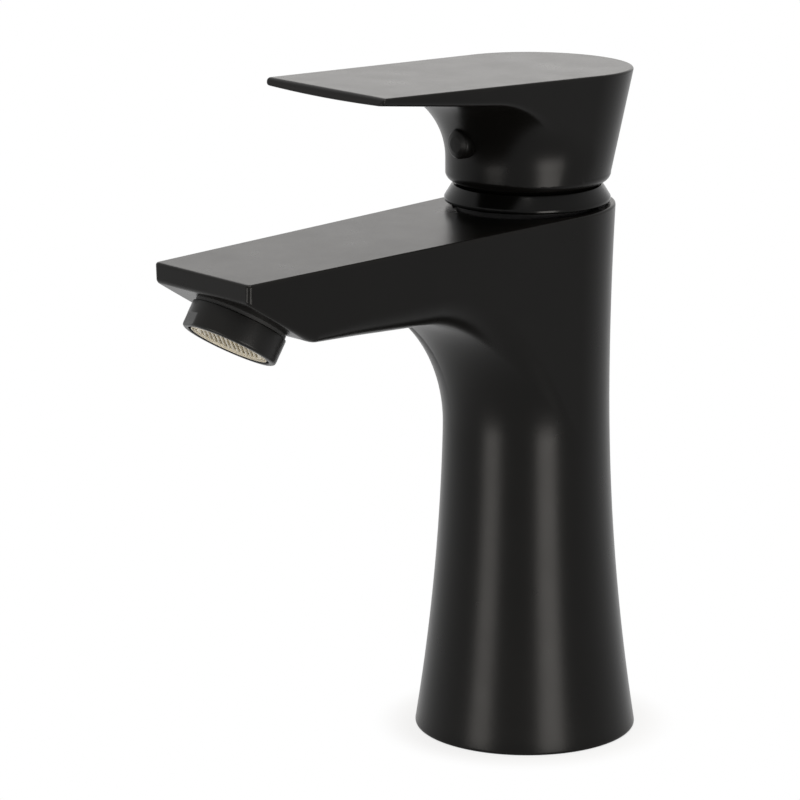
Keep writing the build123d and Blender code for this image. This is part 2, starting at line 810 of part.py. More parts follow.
with BuildPart() as lever_handle:
    add(lever_blank.part)
    add(lever_form.part, mode=Mode.INTERSECT)
    split(bisect_by=lever_top_plane, keep=Keep.BOTTOM)
    split(bisect_by=lever_tip_plane, keep=Keep.BOTTOM)
    # Rounded foot of the hub
    with BuildSketch(Plane.XZ):
        with BuildLine():
            foot = TangentArc(
                (hub_radius - hub_edge_radius, hub_bottom_height),
                (hub_radius, hub_start),
                tangent=(1, 0),
            )
            Polyline(foot @ 1, (0, hub_start), (0, hub_bottom_height), foot @ 0)
        make_face()
    revolve(axis=Axis.Z)
    # Hollow hub
    with BuildSketch(Plane.XY.offset(hub_bottom_height)):
        Circle(hub_cavity_radius)
    extrude(amount=hub_cavity_height, mode=Mode.SUBTRACT)
    with BuildSketch(Plane.XY.offset(hub_bottom_height)):
        Circle(hub_core_radius)
    extrude(amount=hub_roof_height - hub_bottom_height, mode=Mode.SUBTRACT)
    # Boss for the stem and a rib that carries the set screw
    with BuildSketch(stem_plane.offset(boss_start)):
        Circle(boss_radius)
    extrude(amount=boss_length)
    with BuildSketch(Plane.XY.offset(screw_height - rib_drop)):
        with Locations((0, -stem_front)):
            Rectangle(rib_width, hub_cavity_radius - stem_front + rib_root,
                      align=(Align.CENTER, Align.MAX))
    extrude(amount=hub_roof_height + rib_drop - screw_height + rib_root)
    with BuildSketch(stem_plane.offset(boss_start)):
        Rectangle(stem_side + 2 * slide_gap, stem_side + 2 * slide_gap)
    extrude(amount=stem_shank_length + slide_gap - boss_start, mode=Mode.SUBTRACT)
    # Set screw hole and the flat seat of the plug
    with BuildSketch(Plane.XZ.offset(stem_front)):
        with Locations((0, screw_height)):
            Circle(screw_radius + thread_gap)
    extrude(amount=lever_reach / 2, mode=Mode.SUBTRACT)
    with BuildSketch(Plane.XZ.offset(plug_seat)):
        with Locations((0, screw_height)):
            Circle(plug_head_radius + slide_gap)
    extrude(amount=plug_head_side + plug_head_dome, mode=Mode.SUBTRACT)
lever_handle.part.label = "lever_handle"
export_step(lever_handle.part, "parts/lever_handle.step")

with BuildPart() as handle_set_screw:
    with BuildSketch(Plane.XZ.offset(screw_tip)):
        with Locations((0, screw_height)):
            Circle(screw_radius)
    extrude(amount=screw_length)
    with BuildSketch(Plane.XZ.offset(screw_tip + screw_length)):
        with Locations((0, screw_height)):
            RegularPolygon(screw_socket_radius, 6)
    extrude(amount=-screw_socket_depth, mode=Mode.SUBTRACT)
handle_set_screw.part.label = "handle_set_screw"
export_step(handle_set_screw.part, "parts/handle_set_screw.step")

with BuildPart() as screw_plug:
    with BuildSketch(plug_plane):
        with BuildLine():
            plug_top = (0, plug_head_side + plug_head_dome)
            Polyline(
                plug_top,
                (0, -plug_stem_length),
                (screw_radius, -plug_stem_length),
                (screw_radius, 0),
                (plug_head_radius, 0),
                (plug_head_radius, plug_head_side),
            )
            TangentArc(plug_top, (plug_head_radius, plug_head_side), tangent=(1, 0))
        make_face()
    revolve(axis=Axis(plug_plane.origin, plug_plane.y_dir))
screw_plug.part.label = "screw_plug"
export_step(screw_plug.part, "parts/screw_plug.step")

# Aerator, drawn on the slanted face under the tip
with BuildPart() as aerator_washer:
    ring(aerator_plane, aerator_washer_radius, aerator_thread_radius + slide_gap,
         aerator_washer_thickness)
aerator_washer.part.label = "aerator_washer"
export_step(aerator_washer.part, "parts/aerator_washer.step")

with BuildPart() as aerator_housing:
    with BuildSketch(aerator_plane.offset(-aerator_thread_length)):
        Circle(aerator_thread_radius)
    extrude(amount=aerator_thread_length + aerator_washer_thickness)
    with BuildSketch(aerator_plane.offset(aerator_washer_thickness)):
        Circle(aerator_radius)
    extrude(amount=aerator_drop - aerator_washer_thickness)
    down = Axis(aerator_plane.origin, aerator_plane.z_dir)
    fillet(aerator_housing.edges().filter_by(GeomType.CIRCLE).sort_by(down)[-1], aerator_edge_radius)
    # Two wrench flats
    with BuildSketch(aerator_plane.offset(aerator_drop)):
        with Locations((0, aerator_radius), (0, -aerator_radius)):
            Rectangle(2 * aerator_radius, 2 * aerator_flat_depth)
    extrude(amount=-aerator_flat_height, mode=Mode.SUBTRACT)
    with BuildSketch(aerator_plane.offset(core_seat)):
        Circle(aerator_bore_radius)
    extrude(amount=-core_seat - aerator_thread_length, mode=Mode.SUBTRACT)
    with BuildSketch(aerator_plane.offset(core_seat)):
        Circle(aerator_lip_radius)
    extrude(amount=aerator_lip, mode=Mode.SUBTRACT)
aerator_housing.part.label = "aerator_housing"
export_step(aerator_housing.part, "parts/aerator_housing.step")

with BuildPart() as aerator_core:
    with BuildSketch(aerator_plane.offset(core_start)):
        Circle(aerator_bore_radius - slide_gap)
    extrude(amount=core_seat - core_start)
    with BuildSketch(aerator_plane.offset(core_seat)):
        Circle(core_nose_radius)
    extrude(amount=core_end - core_seat)
    with BuildSketch(aerator_plane.offset(core_start)):
        Circle(core_inlet_radius)
    extrude(amount=core_inlet_depth, mode=Mode.SUBTRACT)
    with BuildSketch(aerator_plane.offset(core_deck_end)):
        Circle(core_hole_radius - core_ledge)
    extrude(amount=core_end - core_deck_end, mode=Mode.SUBTRACT)
    with BuildSketch(aerator_plane.offset(core_end)):
        Circle(core_hole_radius)
    extrude(amount=-screen_recess - screen_thickness, mode=Mode.SUBTRACT)
    with BuildSketch(aerator_plane.offset(core_deck_end)):
        with PolarLocations(core_jet_ring, core_jets):
            Circle(core_jet_radius)
    extrude(amount=-core_deck_thickness, mode=Mode.SUBTRACT)
aerator_core.part.label = "aerator_core"
export_step(aerator_core.part, "parts/aerator_core.step")

with BuildPart() as aerator_screen:
    mesh(aerator_plane.offset(core_end - screen_recess - screen_thickness),
         core_hole_radius - seal_gap, screen_thickness)
aerator_screen.part.label = "aerator_screen"
export_step(aerator_screen.part, "parts/aerator_screen.step")

with BuildPart() as inlet_screen:
    mesh(aerator_plane.offset(core_start - inlet_screen_thickness),
         aerator_bore_radius - 2 * slide_gap, inlet_screen_thickness)
inlet_screen.part.label = "inlet_screen"
export_step(inlet_screen.part, "parts/inlet_screen.step")
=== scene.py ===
"""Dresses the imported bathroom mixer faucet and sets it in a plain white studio.

Lengths inside the shape classes are millimetres in the frame of the solids, with +Z up, the origin at
the centre of the base and the spout towards -Y. They become metres when a mesh is made.
"""

import logging
from dataclasses import dataclass, field
from enum import Enum
from math import acos, atan2, cos, hypot, pi, radians, sin, tan
from typing import Callable, Optional, Sequence

import bpy
import numpy as np
from mathutils import Matrix, Vector


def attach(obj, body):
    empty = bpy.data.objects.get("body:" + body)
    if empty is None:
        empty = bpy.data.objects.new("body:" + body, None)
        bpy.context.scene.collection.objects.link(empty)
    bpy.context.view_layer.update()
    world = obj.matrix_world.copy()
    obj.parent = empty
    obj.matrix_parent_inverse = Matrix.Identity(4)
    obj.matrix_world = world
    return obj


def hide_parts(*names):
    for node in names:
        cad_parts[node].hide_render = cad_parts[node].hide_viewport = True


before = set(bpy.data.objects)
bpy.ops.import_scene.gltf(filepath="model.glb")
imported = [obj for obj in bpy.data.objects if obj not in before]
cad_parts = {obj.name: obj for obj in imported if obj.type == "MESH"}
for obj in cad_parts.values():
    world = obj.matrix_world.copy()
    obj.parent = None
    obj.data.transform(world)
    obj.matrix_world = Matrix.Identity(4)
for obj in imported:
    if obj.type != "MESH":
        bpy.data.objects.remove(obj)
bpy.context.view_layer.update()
LOG = logging.getLogger("faucet")
MILLI = 0.001
TINY = 1e-6
HALVINGS = 50
ARC_POINTS = 7
Array = np.ndarray
Profile = Sequence[tuple[float, float, float]]
Field = Callable[[Array, Array, Array], Array]


class Body(str, Enum):
    """Bodies of the frame that a piece can ride on."""

    VALVE = "valve_body"
    LEVER = "lever"


class Coat(Enum):
    """Finishes that the pieces can wear."""

    BODY = "matte black body"
    TRIM = "satin black trim"
    AERATOR = "matte black aerator"
    PLUG = "black plug"
    CREAM = "cream plastic"
    WHITE = "white plastic"
    RED = "red plastic"
    STEEL = "machined steel"
    BRASS = "machined brass"
    CERAMIC = "lapped ceramic"
    RUBBER = "black rubber"


def round_min(a: Array, b: Array, radius: "float | Array") -> Array:
    """Intersects two inside distances and rounds the edge between them.

    Outside the strip where both are below the radius the smaller distance counts. Inside it the edge
    is the quarter circle of that radius that touches both faces.

    Args:
        a: First inside distance.
        b: Second inside distance.
        radius: Radius of the rounded edge.

    Returns:
        Inside distance of the rounded intersection.
    """
    corner = np.hypot(np.maximum(radius - a, 0.0), np.maximum(radius - b, 0.0))
    return np.maximum(radius, np.minimum(a, b)) - corner


def blend_min(a: Array, b: Array, width: float) -> Array:
    """Intersects two inside distances that may run nearly level with each other.

    It is the smaller distance, less the square of the width that is left beside their difference
    over four widths.

    Args:
        a: First inside distance.
        b: Second inside distance.
        width: Difference of the distances over which the edge is blended.

    Returns:
        Inside distance of the blended intersection.
    """
    return np.minimum(a, b) - np.maximum(width - np.abs(a - b), 0.0) ** 2 / (4.0 * width)


def ease(value: Array, low: float, high: float) -> Array:
    """Rises smoothly from zero to one: three squares less two cubes of the share between two ends.

    Args:
        value: Where to look.
        low: End at which the result is zero.
        high: End at which the result is one.

    Returns:
        Values from zero to one.
    """
    share = np.clip((value - low) / (high - low), 0.0, 1.0)
    return share**2 * (3.0 - 2.0 * share)


def swing_from_front(azimuth: Array) -> Array:
    """Gives the angle between an azimuth and -Y, from zero to pi."""
    return np.abs((azimuth + pi) % (2 * pi) - pi)


def heading(azimuth: float, elevation: float) -> Vector:
    """Gives the direction at an azimuth, from -Y towards +X, and an elevation, both in radians."""
    return Vector((sin(azimuth) * cos(elevation), -cos(azimuth) * cos(elevation), sin(elevation)))


def last_inside(low: Array, high: Array, inside: Callable[[Array], Array]) -> Array:
    """Finds by halving how far out each profile is still inside.

    Args:
        low: Radii taken as inside.
        high: Radii taken as outside.
        inside: Test that is true for radii inside.

    Returns:
        The largest inside radius found on each profile, or the low one.
    """
    for _ in range(HALVINGS):
        middle = (low + high) / 2
        inner = inside(middle)
        low, high = np.where(inner, middle, low), np.where(inner, high, middle)
    return low


def tangent_taper(radius: float, half_width: float, run: float) -> float:
    """Finds the angle of a line that touches a circle and ends at a half width after a run.

    Args:
        radius: Radius of the circle.
        half_width: Distance from the middle line at the far end.
        run: Distance along the middle line to the far end.

    Returns:
        Angle to the middle line in radians.
    """
    return atan2(run, half_width) - acos(radius / hypot(half_width, run))


def graded(length: float, marks: Sequence[float], fine: float, coarse: float, growth: float) -> Array:
    """Places points along a length, dense at the marks and sparse away from them.

    The local step is the fine step plus the growth times the distance to the nearest mark, up to the
    coarse step. The points are the even divisions of the summed inverse step.

    Args:
        length: Length to divide.
        marks: Places along the length that need small steps.
        fine: Step at a mark.
        coarse: Largest step.
        growth: Growth of the step per unit of distance.

    Returns:
        Increasing places from zero to the length.
    """
    places = np.linspace(0.0, length, 4001)
    reach = np.min([np.abs(places - mark) for mark in marks], axis=0)
    rate = 1.0 / np.minimum(fine + growth * reach, coarse)
    total = np.concatenate([[0.0], np.cumsum((rate[1:] + rate[:-1]) / 2 * np.diff(places))])
    count = int(np.ceil(total[-1]))
    return np.interp(np.linspace(0.0, total[-1], count + 1), total, places)


def graded_shares(length: float, fine: float, coarse: float, growth: float, both: bool = True) -> Array:
    """Places shares from zero to one along a length, dense at its start or at both ends."""
    return graded(length, [0.0, length] if both else [0.0], fine, coarse, growth) / length


def plan_azimuths(radius: float, offset: float, half: float, reach: float, taper: float,
                  fine: float, coarse: float, growth: float = 0.12) -> Array:
    """Spreads profiles evenly along a plan, closer together at the corners of its tip.

    The plan has a straight tip, two straight sides that touch a circle, and the back of that circle.

    Args:
        radius: Radius of the circle.
        offset: Distance of its centre behind the Z axis.
        half: Half width of the tip.
        reach: Distance of the tip from the Z axis.
        taper: Angle of the sides to the middle plane.
        fine: Spacing at the corners of the tip.
        coarse: Largest spacing.
        growth: Growth of the spacing per unit of distance.

    Returns:
        Azimuths once around, in increasing order.
    """
    touch = radius * Vector((cos(taper), sin(taper)))
    run = hypot(touch.x - half, reach + offset - touch.y)
    back = radius * (pi / 2 + taper)
    places = graded(half + run + back, [half], fine, coarse, growth)
    tip, rest = places <= half, places > half + run
    share = np.clip((places - half) / run, 0.0, 1.0)
    turn = np.maximum(places - half - run, 0.0) / radius - taper
    x = np.where(tip, places, half + (touch.x - half) * share)
    y = np.where(tip, reach, reach + (touch.y - offset - reach) * share)
    x = np.where(rest, radius * np.cos(turn), x)
    y = np.where(rest, -offset - radius * np.sin(turn), y)
    swing = np.arctan2(x, y)
    swing[-1] = pi
    return np.concatenate([swing, 2 * pi - swing[-2:0:-1]])


def along(curve: Array, shares: Array) -> Array:
    """Samples polylines at shares of their own lengths.

    Args:
        curve: Points of many polylines, indexed by point, line and coordinate.
        shares: Places from zero to one along each line, alike for all lines or with one column each.

    Returns:
        Points indexed by share, line and coordinate.
    """
    steps = np.linalg.norm(np.diff(curve, axis=0), axis=2)
    lengths = np.vstack([np.zeros(curve.shape[1]), np.cumsum(steps, axis=0)])
    wanted = shares.reshape(len(shares), -1) * lengths[-1]
    out = np.empty((len(shares), curve.shape[1], curve.shape[2]))
    for line in range(curve.shape[1]):
        for axis in range(curve.shape[2]):
            out[:, line, axis] = np.interp(wanted[:, line], lengths[:, line], curve[:, line, axis])
    return out


def paced(curve: Array, shares: Array, level: float, knee: float = 0.72, most: float = 0.8) -> Array:
    """Samples polylines so that neighbours have their points level over a first stretch.

    Shares up to the knee divide that stretch, which is the level length or, on a shorter line, most
    of it. The other shares divide what is left of the line.

    Args:
        curve: Points of many polylines, indexed by point, line and coordinate.
        shares: Places from zero to one.
        level: Length of the first stretch.
        knee: Share at its end.
        most: Largest part of a line that it may take.

    Returns:
        Points indexed by share, line and coordinate.
    """
    total = np.sum(np.linalg.norm(np.diff(curve, axis=0), axis=2), axis=0)
    first = np.minimum(level, most * total)
    part = shares[:, None]
    place = np.where(part < knee, part / knee * first, first + (part - knee) / (1.0 - knee) * (total - first))
    return along(curve, place / total)


def gradient(shape: Field, points: Array, step: float = 0.01) -> Array:
    """Measures the slope of an inside distance by central differences.

    Args:
        shape: Inside distance of a solid.
        points: Points with the coordinate last.
        step: Half of the difference step.

    Returns:
        Slope at every point, with the coordinate last.
    """
    slope = np.empty_like(points)
    for axis, offset in enumerate(step * np.eye(3)):
        high, low = np.moveaxis(points + offset, -1, 0), np.moveaxis(points - offset, -1, 0)
        slope[..., axis] = (shape(*high) - shape(*low)) / (2 * step)
    return slope


def settle(shape: Field, points: Array, rounds: int = 8, flattest: float = 0.05,
           longest: float = 1.5) -> Array:
    """Moves points onto the surface of a solid along its slope.

    Every round moves a point by the inside distance divided by the squared slope, along the slope.

    Args:
        shape: Inside distance of a solid.
        points: Points near its surface, with the coordinate last.
        rounds: Number of moves.
        flattest: Smallest squared slope that counts.
        longest: Largest move, in units of the slope.

    Returns:
        Points on the surface.
    """
    for _ in range(rounds):
        slope = gradient(shape, points)
        size = np.maximum(np.sum(slope**2, axis=-1), flattest)
        move = shape(*np.moveaxis(points, -1, 0)) / size
        points = points - np.clip(move, -longest, longest)[..., None] * slope
    return points


@dataclass
class Skin:
    """A grid of points that becomes one mesh piece.

    Attributes:
        name: Name of the piece.
        points: Millimetre points, indexed by row, column and coordinate; the columns close on
            themselves.
        normals: Outward directions at the points, or none to let the faces give them.
        wear: Value from zero to one at each point, high on exposed edges.
    """

    name: str
    points: Array
    normals: Optional[Array] = None
    wear: Optional[Array] = None

    def build(self, cap: bool = False) -> bpy.types.Object:
        """Makes the mesh object from the grid.

        Args:
            cap: Close the last row with one face.

        Returns:
            The new object, linked to the scene.
        """
        rows, columns = self.points.shape[:2]
        index = np.arange(rows * columns).reshape(rows, columns)
        follow = np.roll(index, -1, axis=1)
        quads = np.stack([index[:-1], follow[:-1], follow[1:], index[1:]], axis=-1).reshape(-1, 4)
        faces = quads.tolist()
        if cap:
            faces.append(index[-1].tolist())
        mesh = bpy.data.meshes.new(self.name)
        mesh.from_pydata((self.points.reshape(-1, 3) * MILLI).tolist(), [], faces)
        mesh.polygons.foreach_set("use_smooth", np.ones(len(faces), dtype=bool))
        if self.wear is not None:
            layer = mesh.attributes.new("wear", "FLOAT", "POINT")
            layer.data.foreach_set("value", self.wear.reshape(-1).astype(np.float32))
        mesh.update()
        if self.normals is not None:
            size = np.linalg.norm(self.normals, axis=-1, keepdims=True)
            free = (self.normals / np.maximum(size, TINY)).reshape(-1).astype(np.float32)
            mesh.attributes.new("custom_normal", "FLOAT_VECTOR", "POINT").data.foreach_set("vector", free)
        piece = bpy.data.objects.new(self.name, mesh)
        bpy.context.scene.collection.objects.link(piece)
        return piece


def polar_points(azimuths: Array, profile: Array) -> Array:
    """Turns profiles in half planes through the Z axis into points in space.

    A point at radius r and height z on azimuth a is (r sin a, -r cos a, z), so azimuth zero looks
    along -Y.

    Args:
        azimuths: Azimuth of each profile in radians.
        profile: Radius and height, indexed by point, azimuth and coordinate.

    Returns:
        Points in space with the coordinate last.
    """
    radius, height = profile[..., 0], profile[..., 1]
    return np.stack([radius * np.sin(azimuths), -radius * np.cos(azimuths), height], axis=-1)


def edge_wear(shape: Field, points: Array, reach: float = 0.8, gain: float = 6.0) -> Array:
    """Finds how exposed each surface point is.

    It compares the slope a short way below the surface with the slope on it: under a flat face they
    agree, and under an edge they turn apart. The wear is one less their cosine, times the gain.

    Args:
        shape: Inside distance of a solid.
        points: Points on its surface.
        reach: Depth of the probe.
        gain: Wear for a turn by a right angle, before it is cut at one.

    Returns:
        Values from zero on flat faces to one on sharp edges.
    """
    slope = gradient(shape, points)
    inward = slope / np.maximum(np.linalg.norm(slope, axis=-1, keepdims=True), TINY)
    probe = points + reach * inward
    turned = gradient(shape, probe)
    bend = np.linalg.norm(turned, axis=-1)
    agree = np.sum(turned * inward, axis=-1) / np.maximum(bend, TINY)
    return np.clip((1.0 - agree) * gain, 0.0, 1.0)


def wrap(name: str, shape: Field, azimuth: Array, hollow: Array, outer: Array, bore: Array) -> Skin:
    """Joins a hollow, a rounded outside and a bore into one skin.

    The outer rows settle onto the rounded solid and take their normals from its slope. The rows of
    the hollow and the bore face the axis.

    Args:
        name: Name of the piece.
        shape: Inside distance of the rounded solid.
        azimuth: Azimuths of the profiles.
        hollow: Radius and height of the rows before the outside.
        outer: Radius and height of the outside rows.
        bore: Radius and height of the rows after it, which may be none.

    Returns:
        The grid of the piece.
    """
    outside = settle(shape, polar_points(azimuth, outer))
    inward = polar_points(azimuth, np.zeros((1, len(azimuth), 2)) + np.array((-1.0, 0.0)))
    points = [polar_points(azimuth, hollow), outside, polar_points(azimuth, bore)]
    normals = [np.repeat(inward, len(hollow), 0), -gradient(shape, outside), np.repeat(inward, len(bore), 0)]
    wear = [np.zeros(hollow.shape[:2]), edge_wear(shape, outside), np.zeros(bore.shape[:2])]
    return Skin(name, np.concatenate(points), np.concatenate(normals), np.concatenate(wear))


@dataclass
class Spout:
    """Shape of the valve body: a waisted column with a flat spout that grows out of it.

    The runs and samples only set how the rows of the grid are spaced.
    """

    base_radius: float = 29.3
    base_edge: float = 0.8
    waist_radius: float = 21.7
    waist_height: float = 95.0
    rim_radius: float = 22.9
    rim_height: float = 143.0
    wall: float = 4.5
    hollow_top: float = 91.0
    bore_radius: float = 19.4
    bore_floor: float = 131.5
    reach: float = 106.2
    tip_width: float = 38.0
    top_height: float = 140.5
    top_fall: float = radians(2.1)
    root_height: float = 82.5
    root_depth: float = 27.5
    root_rise: float = 34.9
    under_rise: float = radians(2.9)
    tip_face: float = 4.8
    under_slope: float = radians(32.0)
    corner_radius: float = 1.2
    knee_edge: float = 1.0
    root_edge: float = 8.5
    lower_edge: float = 5.0
    tip_lower_edge: float = 0.7
    top_edge: float = 0.7
    lower_ease: tuple[float, float] = (-102.0, -66.0)
    root_ease: tuple[float, float] = (-80.0, -30.0)
    bore_drop: float = 1.0
    hollow_rows: int = 24
    bore_rows: int = 6
    under_run: float = 70.0
    level_run: float = 49.0
    side_run: float = 30.0
    top_run: float = 40.0
    samples: int = 400
    taper: float = field(init=False)
    run_r: float = field(init=False)
    run_z: float = field(init=False)
    tip_bottom: float = field(init=False)

    def __post_init__(self) -> None:
        """Works out the sizes that follow from the fields."""
        self.taper = tangent_taper(self.rim_radius, self.tip_width / 2, self.reach)
        start = float(self.column(np.array(self.root_height)))
        self.run_r = start + self.root_depth
        self.run_z = self.root_height + self.root_rise
        self.tip_bottom = self.top_height - self.reach * tan(self.top_fall) - self.tip_face

    def column(self, z: Array) -> Array:
        """Gives the radius of the hourglass: one arc below the waist and one above it.

        Args:
            z: Heights.

        Returns:
            Radii.
        """
        low = self.base_radius - self.waist_radius
        high = self.rim_radius - self.waist_radius
        rise = self.rim_height - self.waist_height
        below = (low**2 + self.waist_height**2) / (2 * low)
        above = (high**2 + rise**2) / (2 * high)
        arc = np.where(z < self.waist_height, below, above)
        return self.waist_radius + arc - np.sqrt(arc**2 - (z - self.waist_height) ** 2)

    def underside(self, radius: Array, azimuth: Array) -> Array:
        """Gives the height of the underside: root arc, rising run, then the slanted tip plane.

        Args:
            radius: Distances from the Z axis.
            azimuth: Azimuths of the points.

        Returns:
            Heights.
        """
        inside = np.maximum(1.0 - ((self.run_r - radius) / self.root_depth) ** 2, 0.0)
        arc = self.root_height + self.root_rise * np.sqrt(inside)
        run = self.run_z + (radius - self.run_r) * tan(self.under_rise)
        plane = self.tip_bottom - (self.reach - radius * np.cos(azimuth)) * tan(self.under_slope)
        return np.maximum(np.where(radius < self.run_r, arc, run), plane)

    def outline(self, azimuth: Array, z: Array) -> Array:
        """Gives how far the plan reaches: a round back, tangent sides and a straight tip.

        Args:
            azimuth: Azimuths.
            z: Heights, which set the size of the round back.

        Returns:
            Distances from the Z axis.
        """
        swing = swing_from_front(azimuth)
        side = self.column(z) / np.maximum(np.sin(swing + self.taper), TINY)
        reach = np.where(swing < pi / 2 - self.taper, side, self.column(z))
        tip = self.reach / np.maximum(np.cos(swing), TINY)
        return np.where(swing < pi / 2, np.minimum(reach, tip), reach)

    def distance(self, x: Array, y: Array, z: Array) -> Array:
        """Gives the inside distance of the rounded body.

        The root is an ellipse turned about Z, so its distance is the scaled radius less one, times
        that radius over the length of its slope. The rounding between the underside and the sides
        shrinks with one less the cosine between the two faces, so it ends where they touch.

        Args:
            x: Coordinates along X.
            y: Coordinates along Y.
            z: Coordinates along Z.

        Returns:
            Inside distances.
        """
        rho = np.hypot(x, y)
        column = self.column(z)
        side = np.abs(x)
        ahead = -y * cos(self.taper) - side * sin(self.taper) > 0
        across = np.where(ahead, side * cos(self.taper) - y * sin(self.taper), rho)
        slant = (z - self.tip_bottom) * cos(self.under_slope)
        slant = slant + (y + self.reach) * sin(self.under_slope)
        u, v = (rho - self.run_r) / self.root_depth, (z - self.root_height) / self.root_rise
        size = np.maximum(np.hypot(u, v), TINY)
        slope = np.maximum(np.hypot(u / self.root_depth, v / self.root_rise), TINY)
        arc = (size - 1.0) * size / slope
        run = (z - self.run_z) * cos(self.under_rise) - (rho - self.run_r) * sin(self.under_rise)
        under = np.where(rho < self.run_r, np.where(z > self.root_height, arc, column - rho), run)
        plan = round_min(column - across, y + self.reach, self.corner_radius)
        lean = np.where(z > self.root_height, -u / self.root_depth / slope, 1.0)
        cosine = np.where(rho < self.run_r, lean * across / np.maximum(rho, TINY), 0.0)
        lower = self.tip_lower_edge + (self.lower_edge - self.tip_lower_edge) * ease(y, *self.lower_ease)
        lower = lower + (self.root_edge - self.lower_edge) * ease(y, *self.root_ease)
        lower = lower * np.clip(1.0 - cosine, 1e-4, 1.0)
        spout = round_min(plan, round_min(under, slant, self.knee_edge), lower)
        solid = np.maximum(column - rho, spout)
        top = (self.top_height + y * tan(self.top_fall) - z) * cos(self.top_fall)
        return round_min(round_min(solid, top, self.top_edge), z, self.base_edge)

    def skin(self) -> Skin:
        """Wraps the body in a grid of profiles around the Z axis.

        A profile runs down the hollow, around the foot, up the column, out along the underside to
        its lower edge, up the wall, and back over the top into the bore. The outside rows then
        settle onto the rounded solid.

        Returns:
            The grid of the body.
        """
        azimuth = plan_azimuths(self.rim_radius, 0.0, self.tip_width / 2, self.reach, self.taper,
                                fine=0.12, coarse=1.5)
        fine = np.linspace(0.0, 1.0, self.samples)[:, None]
        spread = np.zeros_like(azimuth)[None, :]
        foot = np.full_like(azimuth, float(self.column(np.array(self.root_height))))
        far = self.outline(azimuth, np.full_like(azimuth, self.rim_height))

        def inside(radius: Array) -> Array:
            """Tells where the underside still lies within the plan."""
            level = np.minimum(self.underside(radius, azimuth), self.rim_height)
            return radius < self.outline(azimuth, level)

        front = swing_from_front(azimuth) < pi / 2 - self.taper
        edge = last_inside(foot, np.maximum(far, foot), inside)
        edge_r = np.where(front, np.maximum(edge, foot), foot)
        edge_z = np.where(front, self.underside(edge_r, azimuth), self.root_height)
        column_z = self.root_height * fine + spread
        column = np.stack([self.column(column_z), column_z], axis=-1)
        under_r = foot + (edge_r - foot) * fine
        under = np.stack([under_r, np.maximum(self.underside(under_r, azimuth), self.root_height)], -1)
        under[:, ~front, 1] = self.root_height
        top_z = self.top_height - far * np.cos(azimuth) * tan(self.top_fall)
        wall_z = edge_z + (top_z - edge_z) * fine
        wall = np.stack([self.outline(azimuth, wall_z), wall_z], axis=-1)
        top_r = wall[-1, :, 0] + (self.bore_radius - wall[-1, :, 0]) * fine
        top = np.stack([top_r, self.top_height - top_r * np.cos(azimuth) * tan(self.top_fall)], -1)
        lower = graded_shares(self.root_height + self.under_run, 0.3, 2.2, 0.12)
        outer = np.concatenate([
            paced(np.concatenate([column, under[1:]]), lower, self.root_height + self.level_run),
            along(wall, graded_shares(self.side_run, 0.16, 1.6, 0.2))[1:],
            along(top, graded_shares(self.top_run, 0.12, 4.0, 0.25, both=False))[1:],
        ])
        hollow_z = self.hollow_top * (1.0 - np.linspace(0.0, 1.0, self.hollow_rows))[:, None] + spread
        hollow = np.stack([self.column(hollow_z) - self.wall, hollow_z], -1)
        bore_z = np.linspace(self.top_height - self.bore_drop, self.bore_floor, self.bore_rows)
        bore_z = bore_z[:, None] + spread
        bore = np.stack([np.full_like(bore_z, self.bore_radius), bore_z], -1)
        return wrap("dressed_body", self.distance, azimuth, hollow, outer, bore)


